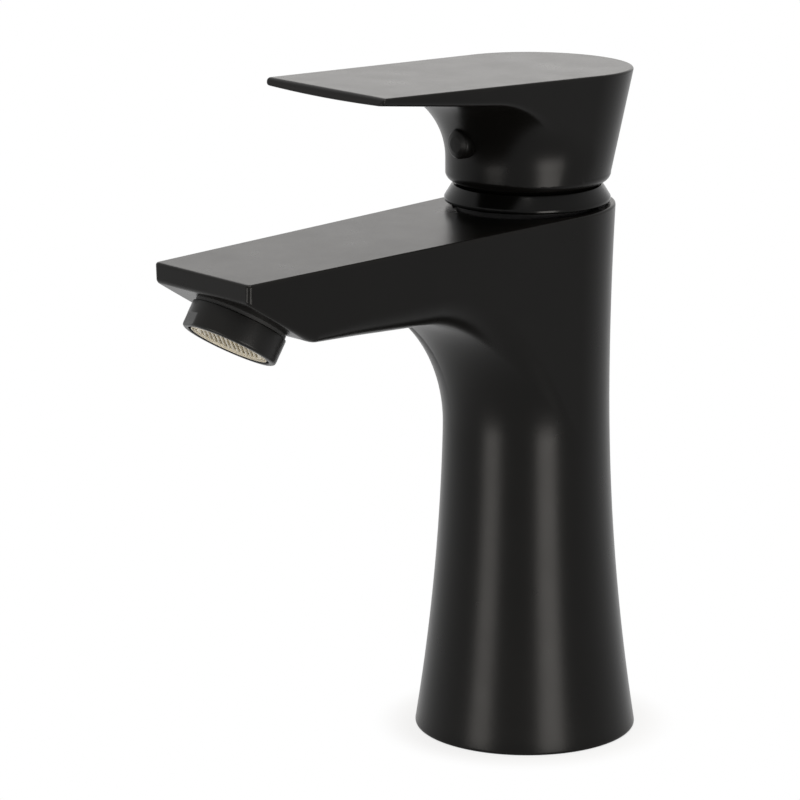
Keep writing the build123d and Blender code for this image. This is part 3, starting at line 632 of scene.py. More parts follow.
@dataclass
class Lever:
    """Shape of the handle: a round hub that widens into a flat lever.

    The runs and samples only set how the rows of the grid are spaced.
    """

    hub_radius: float = 21.4
    hub_offset: float = 0.2
    hub_front: float = 21.2
    hub_bottom: float = 146.7
    hub_edge: float = 2.5
    hub_waist: float = 152.6
    root_radius: float = 19.3
    under_rise: float = radians(6.8)
    reach: float = 67.1
    tip_width: float = 45.4
    top_height: float = 176.25
    top_rise: float = radians(1.15)
    back_radius: float = 24.6
    back_offset: float = 3.6
    tip_lean: float = radians(30.0)
    cavity_radius: float = 19.7
    cavity_top: float = 155.7
    hub_slack: float = 0.012
    slack_start: float = 10.0
    lower_edge: float = 1.5
    top_edge: float = 0.7
    tip_edge: float = 0.6
    pole_radius: float = 0.4
    hollow_lift: float = 0.3
    hollow_rows: int = 8
    search_margin: float = 4.0
    least_ledge: float = 1e-3
    under_run: float = 60.0
    level_run: float = 35.0
    side_run: float = 14.0
    top_run: float = 50.0
    samples: int = 300
    taper: float = field(init=False)
    start: float = field(init=False)
    arc_r: float = field(init=False)
    arc_z: float = field(init=False)
    run_r: float = field(init=False)
    run_z: float = field(init=False)
    tip_top: float = field(init=False)

    def __post_init__(self) -> None:
        """Works out the sizes that follow from the fields."""
        self.taper = tangent_taper(self.back_radius, self.tip_width / 2, self.reach + self.back_offset)
        self.start = self.hub_bottom + self.hub_edge
        self.arc_r = self.hub_front + self.root_radius
        self.arc_z = self.hub_waist
        self.run_r = self.arc_r - self.root_radius * sin(self.under_rise)
        self.run_z = self.arc_z + self.root_radius * cos(self.under_rise)
        self.tip_top = self.top_height + self.reach * tan(self.top_rise)

    def plan(self, z: Array) -> tuple[Array, Array]:
        """Gives the radius and the centre of the round back, both straight in the height.

        Args:
            z: Heights.

        Returns:
            Radii, and places of the centre along Y.
        """
        share = np.maximum(z - self.start, 0.0) / (self.top_height - self.start)
        radius = self.hub_radius + share * (self.back_radius - self.hub_radius)
        return radius, self.hub_offset + share * (self.back_offset - self.hub_offset)

    def hub(self, rho: Array, z: Array) -> Array:
        """Gives the inside distance of the turned hub with its concave root and rising underside.

        Args:
            rho: Distances from the Z axis.
            z: Heights.

        Returns:
            Inside distances.
        """
        arc = np.hypot(rho - self.arc_r, z - self.arc_z) - self.root_radius
        run = (z - self.run_z) * cos(self.under_rise) - (rho - self.run_r) * sin(self.under_rise)
        wall = self.hub_front - rho
        return np.where(rho > self.run_r, run, np.where(z > self.hub_waist, arc, wall))

    def distance(self, x: Array, y: Array, z: Array) -> Array:
        """Gives the inside distance of the rounded handle.

        Args:
            x: Coordinates along X.
            y: Coordinates along Y.
            z: Coordinates along Z.

        Returns:
            Inside distances.
        """
        rho = np.hypot(x, y)
        radius, centre = self.plan(z)
        side, back = np.abs(x), y - centre
        ahead = -back * cos(self.taper) - side * sin(self.taper) > 0
        across = np.where(ahead, side * cos(self.taper) - back * sin(self.taper), np.hypot(side, back))
        hub = self.hub(rho, z) + self.hub_slack * np.maximum(y + self.slack_start, 0.0) ** 2
        top = (self.top_height - y * tan(self.top_rise) - z) * cos(self.top_rise)
        tip = (y + self.reach) * cos(self.tip_lean) - (z - self.tip_top) * sin(self.tip_lean)
        reach = np.hypot(x, y - self.hub_offset) - self.hub_radius + self.hub_edge
        foot = self.hub_edge - np.hypot(np.maximum(reach, 0.0), np.maximum(self.start - z, 0.0))
        body = blend_min(radius - across, hub, self.lower_edge)
        body = round_min(body, tip, self.tip_edge)
        body = round_min(body, top, self.top_edge)
        return np.where(z < self.start, np.minimum(body, foot), body)

    def reach_at(self, azimuth: Array, z: Array) -> Array:
        """Finds where a level line from the axis leaves the plan and the leaning tip.

        Args:
            azimuth: Azimuths.
            z: Heights.

        Returns:
            Distances from the Z axis.
        """
        radius, centre = self.plan(z)
        swing = swing_from_front(azimuth)
        wall = (radius - centre * sin(self.taper)) / np.maximum(np.sin(swing + self.taper), TINY)
        across = centre * np.cos(swing)
        back = -across + np.sqrt(np.maximum(radius**2 - (centre * np.sin(swing)) ** 2, 0.0))
        touch = np.arctan2(radius * cos(self.taper), radius * sin(self.taper) - centre)
        reach = np.where(swing < touch, wall, back)
        lean = self.reach + (self.tip_top - z) * tan(self.tip_lean)
        tip = lean / np.maximum(np.cos(swing), TINY)
        return np.where(swing < pi / 2, np.minimum(reach, tip), reach)

    def underside(self, radius: Array) -> Array:
        """Gives the height of the underside over the root arc and the rising run.

        Args:
            radius: Distances from the Z axis.

        Returns:
            Heights.
        """
        inside = np.maximum(self.root_radius**2 - (self.arc_r - radius) ** 2, 0.0)
        run = self.run_z + (radius - self.run_r) * tan(self.under_rise)
        return np.where(radius < self.run_r, self.arc_z + np.sqrt(inside), run)

    def skin(self) -> Skin:
        """Wraps the handle in a grid of profiles around the Z axis.

        A profile runs down the cavity, around the foot, up the hub, out along the underside to its
        lower edge, up the edge and over the top to the middle. The outside rows settle onto the
        rounded solid.

        Returns:
            The grid of the handle.
        """
        azimuth = plan_azimuths(self.back_radius, self.back_offset, self.tip_width / 2, self.reach,
                                self.taper, fine=0.1, coarse=1.4)
        fine = np.linspace(0.0, 1.0, self.samples)[:, None]
        spread = np.zeros_like(azimuth)[None, :]
        neck = np.full_like(azimuth, self.hub_front)
        far = self.reach_at(azimuth, np.full_like(azimuth, self.top_height))

        def inside(radius: Array) -> Array:
            """Tells where the underside still lies within the plan."""
            return radius < self.reach_at(azimuth, self.underside(radius))

        edge = last_inside(neck, np.maximum(far, neck) + self.search_margin, inside)
        front = (swing_from_front(azimuth) < pi / 2) & (edge > neck + self.least_ledge)
        edge_r = np.where(front, edge, neck)
        edge_z = np.where(front, self.underside(edge_r), self.hub_waist)
        turn = (pi / 2) * fine + spread
        foot_r = self.hub_radius - self.hub_edge + self.hub_edge * np.sin(turn)
        foot = np.stack([foot_r, self.start - self.hub_edge * np.cos(turn)], -1)
        foot = foot[foot[:, 0, 0] > self.cavity_radius]
        side_z = self.start + (self.hub_waist - self.start) * fine + spread
        side = np.stack([np.full_like(side_z, self.hub_front), side_z], -1)
        under_r = neck + (edge_r - neck) * fine
        under = np.stack([under_r, np.where(front, self.underside(under_r), self.hub_waist)], -1)
        lower = np.concatenate([foot, side[1:], under[1:]])
        top_z = self.top_height + far * np.cos(azimuth) * tan(self.top_rise)
        wall_z = edge_z + (top_z - edge_z) * fine
        wall = np.stack([self.reach_at(azimuth, wall_z), wall_z], -1)
        top_r = wall[-1, :, 0] * (1.0 - fine) + self.pole_radius * fine
        top = np.stack([top_r, self.top_height + top_r * np.cos(azimuth) * tan(self.top_rise)], -1)
        outer = np.concatenate([
            paced(lower, graded_shares(self.under_run, 0.25, 1.2, 0.1), self.level_run),
            along(wall, graded_shares(self.side_run, 0.12, 1.0, 0.16))[1:],
            along(top, graded_shares(self.top_run, 0.1, 3.0, 0.2, both=False))[1:],
        ])
        hollow_z = np.linspace(self.cavity_top, self.hub_bottom + self.hollow_lift, self.hollow_rows)
        hollow_z = hollow_z[:, None] + spread
        hollow = np.stack([np.full_like(hollow_z, self.cavity_radius), hollow_z], -1)
        return wrap("dressed_lever", self.distance, azimuth, hollow, outer, hollow[:0])


def on_axis(across: Array, upright: Array, height: Array, origin: Vector, direction: Vector) -> Array:
    """Places local points on an axis: across along X, height along the axis, upright square to both.

    Args:
        across: Local coordinates along X.
        upright: Local coordinates along the axis crossed with X.
        height: Local coordinates along the axis.
        origin: Point of the axis at height zero.
        direction: Direction of the axis.

    Returns:
        Points in space with the coordinate last.
    """
    first = np.array((1.0, 0.0, 0.0))
    axis = np.array(direction.normalized())
    second = np.cross(axis, first)
    level = np.array(origin) + across[..., None] * first + upright[..., None] * second
    return level + height[..., None] * axis


@dataclass
class Lathe:
    """A turned piece: a profile of radius and height, swept around an axis.

    Attributes:
        name: Name of the piece.
        profile: Radius and height along the axis at each corner, with the rounding there.
        origin: A point on the axis, at height zero.
        direction: Direction of the axis.
        flats: Half width across two flats, the height at which they start, and their turn, or none.
        segments: Number of steps around the axis.
    """

    name: str
    profile: Profile
    origin: Vector
    direction: Vector
    flats: Optional[tuple[float, float, float]] = None
    segments: int = 144

    def rounded(self) -> Array:
        """Replaces each corner of the profile by an arc that touches both sides.

        The arc starts and ends at the rounding divided by the tangent of half the corner's angle,
        and its points follow the quadratic curve through the corner's two touching points.

        Returns:
            Points of radius and height.
        """
        corners = [np.array(corner[:2]) for corner in self.profile]
        out = [corners[0]]
        for before, corner, after, entry in zip(corners, corners[1:], corners[2:], self.profile[1:]):
            size = entry[2]
            if size <= 0:
                out.append(corner)
                continue
            back = (before - corner) / np.linalg.norm(before - corner)
            ahead = (after - corner) / np.linalg.norm(after - corner)
            reach = size / tan(acos(float(np.clip(back @ ahead, -0.999, 0.999))) / 2)
            for share in np.linspace(0.0, 1.0, ARC_POINTS):
                blend = (1 - share) ** 2 * (corner + back * reach) + share**2 * (corner + ahead * reach)
                out.append(blend + 2 * share * (1 - share) * corner)
        out.append(corners[-1])
        return np.array(out)

    def skin(self) -> Skin:
        """Sweeps the rounded profile around the axis.

        Returns:
            The grid of the piece.
        """
        profile = self.rounded()
        width, start, offset = self.flats or (1e3, 0.0, 0.0)
        turn = np.linspace(0.0, 2 * pi, self.segments, endpoint=False) - offset
        across = profile[:, :1] * np.cos(turn)
        upright = profile[:, :1] * np.sin(turn)
        height = np.repeat(profile[:, 1:], self.segments, axis=1)
        upright = np.where(height > start, np.clip(upright, -width, width), upright)
        return Skin(self.name, on_axis(
            across * cos(offset) - upright * sin(offset),
            across * sin(offset) + upright * cos(offset), height, self.origin, self.direction))


@dataclass
class Aerator:
    """Shape of the aerator: a turned shell with two flats around a plastic insert."""

    origin: Vector
    axis: Vector
    radius: float = 12.35
    drop: float = 7.7
    thread_radius: float = 10.8
    thread_length: float = 4.4
    shoulder: float = 0.9
    flat_start: float = 4.3
    flat_step: float = 0.02
    flat_half: float = 11.65
    flat_turn: float = radians(22)
    bore_radius: float = 10.0
    lip_radius: float = 10.7
    lip_depth: float = 1.5
    core_inset: float = 0.2
    core_radius: float = 9.9
    core_start: float = -4.2
    throat_radius: float = 8.4
    tube_radius: float = 7.4
    tube_start: float = -1.0
    face_radius: float = 8.6
    fin_turn: float = radians(46.6)
    fin_pitch: float = 1.2
    fin_width: float = 0.5
    fin_height: float = 1.5
    fin_blend: float = 0.12
    bar_pitch: float = 3.6
    bar_width: float = 0.4
    bar_share: float = 0.5
    floor_depth: float = 1.9
    rim_width: float = 0.6
    rim_blend: float = 0.1
    pole_radius: float = 0.05
    rings: int = 84
    spokes: int = 300

    def shell(self) -> Lathe:
        """Describes the shell with its thread, its two flats and its lip.

        Returns:
            The turned shell.
        """
        side, end, seat, flat = self.radius, self.drop, self.drop - self.lip_depth, self.flat_start
        profile = [(self.bore_radius, -self.thread_length, 0), (self.thread_radius, -self.thread_length, 0),
                   (self.thread_radius, self.shoulder, 0), (side, self.shoulder, 0.3),
                   (side, flat - self.flat_step, 0), (side, flat, 0), (side, flat + self.flat_step, 0),
                   (side, end, 0.9), (self.lip_radius, end, 0.35), (self.lip_radius, seat, 0),
                   (self.bore_radius, seat, 0)]
        return Lathe("dressed_aerator", profile, self.origin, self.axis,
                     (self.flat_half, flat, self.flat_turn))

    def core(self) -> Lathe:
        """Describes the insert: a tube with two thin rims at its mouth.

        Returns:
            The turned insert.
        """
        tube, throat, core = self.tube_radius, self.throat_radius, self.core_radius
        low, high, end = self.core_start, self.tube_start, self.drop - self.core_inset
        profile = [(tube, high, 0), (throat, high, 0), (throat, low, 0), (core, low, 0), (core, end - 1.6, 0),
                   (10.05, end - 1.5, 0), (10.05, end, 0.12), (9.72, end, 0.12), (9.7, end - 1.4, 0),
                   (9.35, end - 1.4, 0), (9.33, end - 0.05, 0.1), (9.0, end - 0.05, 0.1),
                   (8.98, end - 1.7, 0), (tube, end - 1.7, 0), (tube, high, 0)]
        return Lathe("dressed_core", profile, self.origin, self.axis)

    def screen(self) -> Skin:
        """Makes the face of the insert: fins one way and thinner bars the other, on a polar grid.

        The height is the floor plus the fin height times the largest of the fins, the lower bars and
        the rim. A fin or bar is one where the distance to its middle is below half its width, and
        falls to zero beside it.

        Returns:
            The grid of the face.
        """
        rings = np.linspace(self.face_radius, self.pole_radius, self.rings)
        radii = np.concatenate([[self.face_radius], rings])
        turn = np.linspace(0.0, 2 * pi, self.spokes, endpoint=False)
        across, upright = radii[:, None] * np.cos(turn), radii[:, None] * np.sin(turn)

        def band(place: Array, pitch: float, width: float) -> Array:
            """Gives one on the bands of a comb and zero between them."""
            off = np.abs((place / pitch) % 1.0 - 0.5) * pitch
            return np.clip((width / 2 - off) / self.fin_blend + 0.5, 0.0, 1.0)

        along_fins = across * cos(self.fin_turn) + upright * sin(self.fin_turn)
        across_fins = upright * cos(self.fin_turn) - across * sin(self.fin_turn)
        fins = band(across_fins, self.fin_pitch, self.fin_width)
        bars = self.bar_share * band(along_fins, self.bar_pitch, self.bar_width)
        beyond = np.hypot(across, upright) - self.face_radius + self.rim_width
        rim = np.clip(beyond / self.rim_blend, 0.0, 1.0)
        height = self.drop - self.floor_depth + self.fin_height * np.maximum(np.maximum(fins, bars), rim)
        height[0] = self.drop - self.floor_depth
        return Skin("dressed_screen", on_axis(across, upright, height, self.origin, self.axis))


class Nodes:
    """Builds node trees one node at a time."""

    def __init__(self, tree: bpy.types.NodeTree) -> None:
        """Keeps the tree.

        Args:
            tree: Tree that receives the nodes.
        """
        self.tree = tree

    def add(self, kind: str, **settings: object) -> bpy.types.Node:
        """Adds a node of a kind and fills it with the settings."""
        return self.fill(self.tree.nodes.new(kind), **settings)

    def fill(self, node: bpy.types.Node, **settings: object) -> bpy.types.Node:
        """Sets the properties of a node, and sets or links its inputs.

        Args:
            node: The node.
            settings: Node properties, or inputs, by name with spaces as underscores or by an i and
                their number. A socket is linked, and any other value is set.

        Returns:
            The node.
        """
        for key, value in settings.items():
            if hasattr(node, key) and key not in {"inputs", "outputs"}:
                setattr(node, key, value)
                continue
            socket = node.inputs[int(key[1:])] if key[1:].isdigit() else node.inputs[key.replace("_", " ")]
            if isinstance(value, bpy.types.NodeSocket):
                self.tree.links.new(value, socket)
            else:
                socket.default_value = value
        return node


class Groups:
    """Shader node groups that several finishes share."""

    @staticmethod
    def coat() -> bpy.types.NodeTree:
        """Builds the fine texture of a sprayed matte coat.

        Two noises over Object coordinates make a soft mottle and a fine grain. The wear attribute
        pales the colour a little on exposed edges.

        Returns:
            Group with the outputs Tone, Gloss and Normal.
        """
        tree = bpy.data.node_groups.new("sprayed_coat", "ShaderNodeTree")
        for name, side, kind in (
                ("Dark", "INPUT", "Color"), ("Pale", "INPUT", "Color"), ("Gloss Low", "INPUT", "Float"),
                ("Gloss High", "INPUT", "Float"), ("Grain", "INPUT", "Float"), ("Tone", "OUTPUT", "Color"),
                ("Gloss", "OUTPUT", "Float"), ("Normal", "OUTPUT", "Vector")):
            tree.interface.new_socket(name, in_out=side, socket_type="NodeSocket" + kind)
        nodes = Nodes(tree)
        given = nodes.add("NodeGroupInput").outputs
        place = nodes.add("ShaderNodeTexCoord").outputs["Object"]
        mottle = nodes.add("ShaderNodeTexNoise", Vector=place, Scale=90.0, Detail=4.0, Roughness=0.6)
        grain = nodes.add("ShaderNodeTexNoise", Vector=place, Scale=5200.0, Detail=2.0, Roughness=0.55)
        wear = nodes.add("ShaderNodeAttribute", attribute_name="wear").outputs["Fac"]
        rub = nodes.add("ShaderNodeMath", operation="MULTIPLY", i0=wear, i1=mottle.outputs["Fac"])
        lift = nodes.add("ShaderNodeMath", operation="MULTIPLY_ADD", i0=mottle.outputs["Fac"], i1=0.35,
                         i2=rub.outputs["Value"], use_clamp=True)
        tone = nodes.add("ShaderNodeMix", data_type="RGBA", clamp_factor=True, i0=lift.outputs["Value"],
                         i6=given["Dark"], i7=given["Pale"])
        gloss = nodes.add("ShaderNodeMapRange", Value=mottle.outputs["Fac"], From_Min=0.3, From_Max=0.7,
                          To_Min=given["Gloss Low"], To_Max=given["Gloss High"])
        bump = nodes.add("ShaderNodeBump", Strength=given["Grain"], Distance=0.00004,
                         Height=grain.outputs["Fac"])
        nodes.add("NodeGroupOutput", Tone=tone.outputs[2], Gloss=gloss.outputs["Result"],
                  Normal=bump.outputs["Normal"])
        return tree


@dataclass(frozen=True)
class Finish:
    """Numbers that make one finish from the shared coat."""

    dark: tuple[float, float, float]
    pale: tuple[float, float, float]
    gloss: tuple[float, float]
    grain: float = 0.2
    metallic: float = 0.0
    specular: float = 0.5


FINISHES: dict[Coat, Finish] = {
    Coat.BODY: Finish((0.003, 0.0028, 0.0025), (0.006, 0.0056, 0.005), (0.272, 0.302), 0.25, specular=0.115),
    Coat.TRIM: Finish((0.0024, 0.0023, 0.0021), (0.005, 0.0048, 0.0044), (0.16, 0.21), 0.15, specular=0.115),
    Coat.AERATOR: Finish((0.004, 0.0038, 0.0035), (0.008, 0.0076, 0.007), (0.30, 0.38), 0.35, specular=0.15),
    Coat.PLUG: Finish((0.0035, 0.0034, 0.0031), (0.007, 0.0067, 0.0062), (0.28, 0.36), 0.3, specular=0.115),
    Coat.CREAM: Finish((0.60, 0.55, 0.43), (0.72, 0.67, 0.55), (0.32, 0.42), 0.2),
    Coat.WHITE: Finish((0.70, 0.70, 0.68), (0.80, 0.80, 0.78), (0.36, 0.46), 0.2),
    Coat.RED: Finish((0.42, 0.035, 0.03), (0.52, 0.05, 0.04), (0.34, 0.44), 0.2),
    Coat.STEEL: Finish((0.50, 0.50, 0.49), (0.60, 0.60, 0.59), (0.22, 0.34), 0.3, metallic=1.0),
    Coat.BRASS: Finish((0.62, 0.43, 0.20), (0.74, 0.54, 0.28), (0.2, 0.32), 0.3, metallic=1.0),
    Coat.CERAMIC: Finish((0.78, 0.76, 0.72), (0.86, 0.84, 0.80), (0.12, 0.2), 0.1),
    Coat.RUBBER: Finish((0.016, 0.016, 0.016), (0.028, 0.028, 0.028), (0.55, 0.68), 0.5, specular=0.35),
}


class Paints:
    """Makes each finish once."""

    def __init__(self) -> None:
        """Builds the shared group."""
        self.group = Groups.coat()
        self.made: dict[Coat, bpy.types.Material] = {}

    def get(self, coat: Coat) -> bpy.types.Material:
        """Gives the material of a finish.

        Args:
            coat: The finish.

        Returns:
            Its material.
        """
        if coat not in self.made:
            self.made[coat] = self.make(coat, FINISHES[coat])
        return self.made[coat]

    def make(self, coat: Coat, finish: Finish) -> bpy.types.Material:
        """Builds the material of a finish.

        Args:
            coat: The finish's name.
            finish: Its numbers.

        Returns:
            The material.
        """
        material = bpy.data.materials.new(coat.value.replace(" ", "_"))
        material.use_nodes = True
        nodes = Nodes(material.node_tree)
        coating = nodes.add("ShaderNodeGroup", node_tree=self.group, Dark=(*finish.dark, 1.0),
                            Pale=(*finish.pale, 1.0), Gloss_Low=finish.gloss[0],
                            Gloss_High=finish.gloss[1], Grain=finish.grain).outputs
        nodes.fill(material.node_tree.nodes["Principled BSDF"], Metallic=finish.metallic,
                   Specular_IOR_Level=finish.specular, Base_Color=coating["Tone"],
                   Roughness=coating["Gloss"], Normal=coating["Normal"])
        return material


NODE_COATS: dict[str, Coat] = {
    "base_seal": Coat.RUBBER,
    "handle_set_screw": Coat.STEEL,
    "inlet_block": Coat.BRASS,
    "aerator_washer": Coat.RUBBER,
    "inlet_screen": Coat.STEEL,
    "lever_stem": Coat.BRASS,
    "pivot_pin": Coat.STEEL,
    "turret": Coat.WHITE,
    "disc_carrier": Coat.WHITE,
    "moving_disc": Coat.CERAMIC,
    "fixed_disc": Coat.CERAMIC,
    "disc_seals": Coat.RUBBER,
    "cartridge_housing": Coat.WHITE,
    "cartridge_base": Coat.WHITE,
    "inlet_seals": Coat.RUBBER,
    "housing_o_ring": Coat.RUBBER,
    "hot_limit_ring": Coat.RED,
    # Painted shade: the brass retaining nut takes the black rubber finish so that it shows as the dark shade
    # in the gap under the trim ring.
    "retaining_nut": Coat.RUBBER,
    "trim_o_ring": Coat.RUBBER,
}


@dataclass
class Faucet:
    """The whole object: smooth pieces over the frame's main nodes and finishes on the others."""

    paints: Paints
    spout: Spout = field(default_factory=Spout)
    lever: Lever = field(default_factory=Lever)
    aerator_back: float = 14.4
    plug_seat: float = 21.86
    plug_height: float = 158.6
    trim_profile: Profile = (
        (16.2, 145.0, 0), (18.3, 145.0, 0), (18.3, 141.5, 0), (21.5, 141.5, 0.6), (21.5, 142.6, 0.8),
        (19.3, 146.1, 0.5), (18.9, 146.1, 0), (18.7, 147.6, 0.2), (16.2, 147.6, 0), (16.2, 145.0, 0))
    plug_profile: Profile = (
        (2.45, -4.0, 0), (2.45, -1.2, 0), (3.8, -1.2, 0), (3.8, 2.3, 0.9), (2.0, 2.9, 0.6), (0.05, 3.05, 0))

    def place(self, piece: bpy.types.Object, coat: Coat, body: Body, node: str, slot: str) -> None:
        """Finishes a piece and ties it to the frame.

        Args:
            piece: The new piece.
            coat: Its finish.
            body: Body that it rides on.
            node: Node that it stands for.
            slot: Name of a material slot; not used.
        """
        piece.data.materials.append(self.paints.get(coat))
        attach(piece, body.value)
        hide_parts(node)
        LOG.info("%s: %d faces", piece.name, len(piece.data.polygons))

    def aerator(self) -> Aerator:
        """Sets the aerator on the slanted face under the tip.

        Returns:
            The aerator's shapes.
        """
        slope, back = self.spout.under_slope, self.aerator_back
        origin = Vector((0, back * cos(slope) - self.spout.reach, self.spout.tip_bottom - back * sin(slope)))
        return Aerator(origin, Vector((0, -sin(slope), -cos(slope))))

    def build(self) -> None:
        """Makes every piece."""
        self.place(self.spout.skin().build(), Coat.BODY, Body.VALVE, "faucet_body", "black_body")
        self.place(self.lever.skin().build(cap=True), Coat.BODY, Body.LEVER, "lever_handle", "black_lever")
        ring = Lathe("dressed_trim", self.trim_profile, Vector((0, 0, 0)), Vector((0, 0, 1)))
        self.place(ring.skin().build(), Coat.TRIM, Body.VALVE, "trim_ring", "black_trim")
        aerator = self.aerator()
        shell, core = aerator.shell().skin().build(), aerator.core().skin().build()
        self.place(shell, Coat.AERATOR, Body.VALVE, "aerator_housing", "aerator_shell")
        self.place(core, Coat.CREAM, Body.VALVE, "aerator_core", "cream_plastic")
        screen = aerator.screen().build(cap=True)
        self.place(screen, Coat.CREAM, Body.VALVE, "aerator_screen", "cream_plastic")
        seat = Vector((0, -self.plug_seat, self.plug_height))
        button = Lathe("dressed_plug", self.plug_profile, seat, Vector((0, -1, 0)), segments=64)
        self.place(button.skin().build(cap=True), Coat.PLUG, Body.LEVER, "screw_plug", "black_plug")
        for node, coat in NODE_COATS.items():
            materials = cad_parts[node].data.materials
            materials.clear()
            materials.append(self.paints.get(coat))


@dataclass
class Studio:
    """Floor, lamps, surroundings and the camera of the photograph."""

    azimuth: float = radians(47.59)
    elevation: float = radians(14.36)
    distance: float = 0.965
    focal: float = 3679.0
    sideways: float = -0.03305
    aim: float = 0.08793
    pivot: float = 0.08
    roll: float = radians(-0.18)
    sensor: float = 36.0
    image_width: float = 800.0
    lamp_aim: float = -0.03
    lamp_colour: tuple[float, float, float] = (1.0, 0.96, 0.91)
    floor_radii: tuple[float, ...] = (0.042, 0.038, 0.034, 0.01)
    floor_segments: int = 96

    def camera(self) -> None:
        """Sets up the camera from the fitted view."""
        toward = heading(self.azimuth, self.elevation)
        place = Vector((0, 0, self.pivot)) + self.distance * toward
        target = Vector((0, 0, self.aim)) + self.sideways * Vector((cos(self.azimuth), sin(self.azimuth), 0))
        back = (place - target).normalized()
        right = Vector((0, 0, 1)).cross(back).normalized()
        up = back.cross(right)
        across = right * cos(self.roll) + up * sin(self.roll)
        upright = up * cos(self.roll) - right * sin(self.roll)
        data = bpy.data.cameras.new("camera")
        data.sensor_fit = "HORIZONTAL"
        data.sensor_width = self.sensor
        data.lens = self.focal * self.sensor / self.image_width
        data.clip_start = 0.01
        data.clip_end = 20.0
        camera = bpy.data.objects.new("camera", data)
        turn = Matrix((across, upright, back)).transposed().to_4x4()
        camera.matrix_world = Matrix.Translation(place) @ turn
        bpy.context.scene.collection.objects.link(camera)
        bpy.context.scene.camera = camera

    def lamp(self, name: str, azimuth: float, elevation: float, distance: float,
             size: tuple[float, float], power: float, height: float = 0.08) -> None:
        """Adds a rectangular soft lamp that faces the faucet.

        Args:
            name: Name of the lamp.
            azimuth: Azimuth in degrees, zero along -Y and growing towards +X.
            elevation: Elevation in degrees.
            distance: Distance in metres.
            size: Width and height in metres.
            power: Power in watts.
            height: Height of the aimed point.
        """
        data = bpy.data.lights.new(name, "AREA")
        data.shape = "RECTANGLE"
        data.size, data.size_y = size
        data.energy = power
        data.color = self.lamp_colour
        lamp = bpy.data.objects.new(name, data)
        toward = heading(radians(azimuth), radians(elevation))
        lamp.location = Vector((0, self.lamp_aim, height)) + distance * toward
        lamp.rotation_euler = toward.to_track_quat("Z", "Y").to_euler()
        bpy.context.scene.collection.objects.link(lamp)

    def floor(self) -> None:
        """Lays a round pale floor that shows white and keeps the shadow."""
        turn = np.linspace(0.0, 2 * pi, self.floor_segments, endpoint=False)
        radii = np.array(self.floor_radii)[:, None] / MILLI
        level = np.zeros((len(radii), len(turn)))
        points = np.stack([radii * np.cos(turn), radii * np.sin(turn), level], axis=-1)
        floor = Skin("floor", points).build(cap=True)
        material = bpy.data.materials.new("pale_floor")
        material.use_nodes = True
        tree = material.node_tree
        tree.nodes.clear()
        nodes = Nodes(tree)
        place = nodes.add("ShaderNodeTexCoord").outputs["Object"]
        length = nodes.add("ShaderNodeVectorMath", operation="LENGTH", i0=place)
        rim = nodes.add("ShaderNodeMapRange", interpolation_type="SMOOTHSTEP", Value=length.outputs["Value"],
                        From_Min=0.03, From_Max=0.0415, To_Min=0.78, To_Max=1.0)
        share = nodes.add("ShaderNodeMath", operation="MULTIPLY", i0=self.seen(nodes), i1=rim.outputs[0])
        matte = nodes.add("ShaderNodeBsdfDiffuse", Color=(0.86, 0.86, 0.86, 1.0))
        glow = nodes.add("ShaderNodeEmission", Color=(1.0, 1.0, 1.0, 1.0), Strength=1.0)
        blend = nodes.add("ShaderNodeMixShader", i0=share.outputs[0], i1=matte.outputs[0], i2=glow.outputs[0])
        nodes.add("ShaderNodeOutputMaterial", Surface=blend.outputs[0])
        floor.data.materials.append(material)

    @staticmethod
    def seen(nodes: Nodes) -> bpy.types.NodeSocket:
        """Tells the rays that show the background: straight, mirrored or through glass.

        Args:
            nodes: Builder of the tree.

        Returns:
            Socket that is one for these rays and zero for light on matte surfaces.
        """
        path = nodes.add("ShaderNodeLightPath").outputs
        shown = nodes.add("ShaderNodeMath", operation="ADD", i0=path["Is Camera Ray"],
                          i1=path["Is Glossy Ray"])
        shown = nodes.add("ShaderNodeMath", operation="ADD", i0=shown.outputs[0],
                          i1=path["Is Transmission Ray"], use_clamp=True)
        return shown.outputs[0]

    @staticmethod
    def ramp(nodes: Nodes, value: bpy.types.NodeSocket,
             stops: Sequence[tuple[float, float]]) -> bpy.types.NodeSocket:
        """Maps a value from minus one to one through eased grey stops.

        Args:
            nodes: Builder of the tree.
            value: The value.
            stops: Values and the brightness at each, in increasing order.

        Returns:
            Socket with the brightness.
        """
        share = nodes.add("ShaderNodeMapRange", Value=value, From_Min=-1.0, From_Max=1.0)
        node = nodes.add("ShaderNodeValToRGB", Fac=share.outputs[0])
        elements = node.color_ramp.elements
        node.color_ramp.interpolation = "EASE"
        for place, level in stops[1:-1]:
            elements.new((place + 1.0) / 2).color = (level, level, level, 1.0)
        elements[0].color = (stops[0][1],) * 3 + (1.0,)
        elements[-1].color = (stops[-1][1],) * 3 + (1.0,)
        return node.outputs[0]

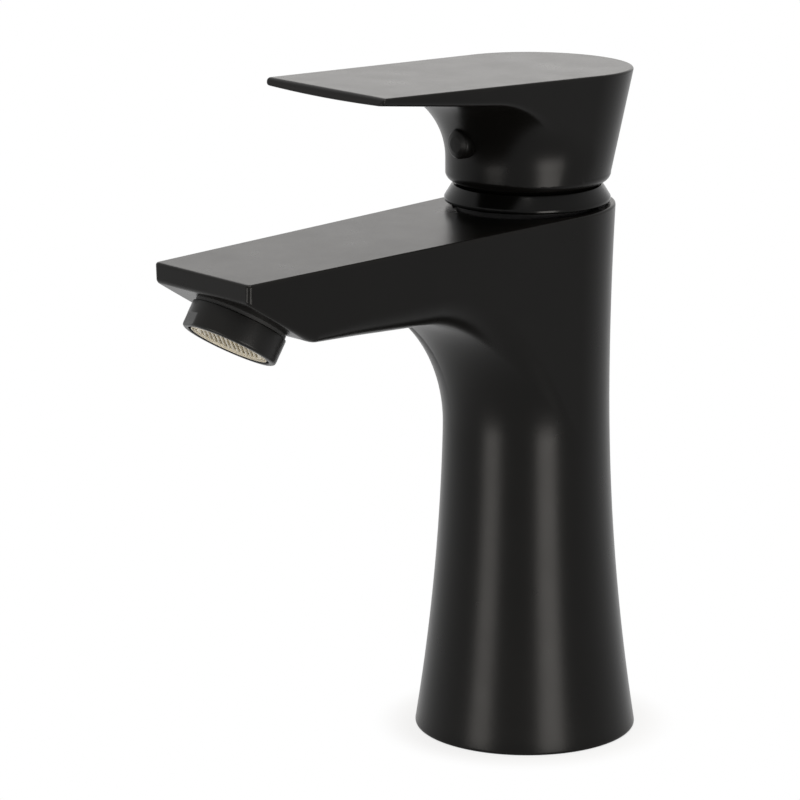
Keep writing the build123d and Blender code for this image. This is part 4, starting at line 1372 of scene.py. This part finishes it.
    def world(self) -> None:
        """Makes the surroundings: white wherever they are seen, and a dim warm room as light.

        The light on matte surfaces is a ramp over the direction away from the camera, times a ramp
        over the height: white behind the faucet, dim at the sides, dark in front and below.
        """
        world = bpy.data.worlds.new("studio")
        world.use_nodes = True
        bpy.context.scene.world = world
        tree = world.node_tree
        tree.nodes.clear()
        nodes = Nodes(tree)
        seen = self.seen(nodes)
        sky = nodes.add("ShaderNodeTexCoord").outputs["Generated"]
        behind = (-sin(self.azimuth), cos(self.azimuth), 0.0)
        facing = nodes.add("ShaderNodeVectorMath", operation="DOT_PRODUCT", i0=sky, i1=behind)
        around = self.ramp(nodes, facing.outputs["Value"], (
            (-1.0, 0.0), (-0.88, 0.02), (-0.5, 0.36), (0.0, 0.5), (0.44, 0.55), (0.8, 1.0), (1.0, 1.0)))
        height = nodes.add("ShaderNodeSeparateXYZ", Vector=sky).outputs["Z"]
        upward = self.ramp(nodes, height, (
            (-1.0, 0.1), (-0.8, 0.15), (-0.62, 0.5), (-0.48, 0.95), (-0.36, 0.75), (-0.22, 0.5),
            (-0.05, 0.5), (0.08, 0.65), (0.22, 1.0), (1.0, 1.0)))
        level = nodes.add("ShaderNodeMath", operation="MULTIPLY", i0=around, i1=upward)
        shade = nodes.add("ShaderNodeMath", operation="MAXIMUM", i0=level.outputs[0], i1=seen)
        tint = nodes.add("ShaderNodeMix", data_type="RGBA", i0=seen, i6=(1.0, 0.95, 0.885, 1.0),
                         i7=(1.0, 1.0, 1.0, 1.0))
        glow = nodes.add("ShaderNodeBackground", Color=tint.outputs[2], Strength=shade.outputs[0])
        nodes.add("ShaderNodeOutputWorld", Surface=glow.outputs[0])

    def build(self) -> None:
        """Sets up everything around the faucet."""
        self.camera()
        self.floor()
        self.world()
        self.lamp("left_strip", 1.0, -9.9, 0.9, (0.34, 0.35), 3.1)
        self.lamp("right_strip", 77.5, -9.9, 0.9, (0.38, 0.35), 4.1)
        self.lamp("top_soft", 20.0, 80.0, 1.0, (0.6, 0.6), 9.0)
        self.lamp("back_soft", 226.0, 15.0, 0.8, (0.7, 0.36), 0.5, 0.15)
        bpy.context.scene.view_settings.view_transform = "Standard"


def main() -> None:
    """Builds the studio and the faucet."""
    logging.basicConfig(level=logging.INFO)
    Studio().build()
    Faucet(Paints()).build()


if __name__ == "__main__":
    main()
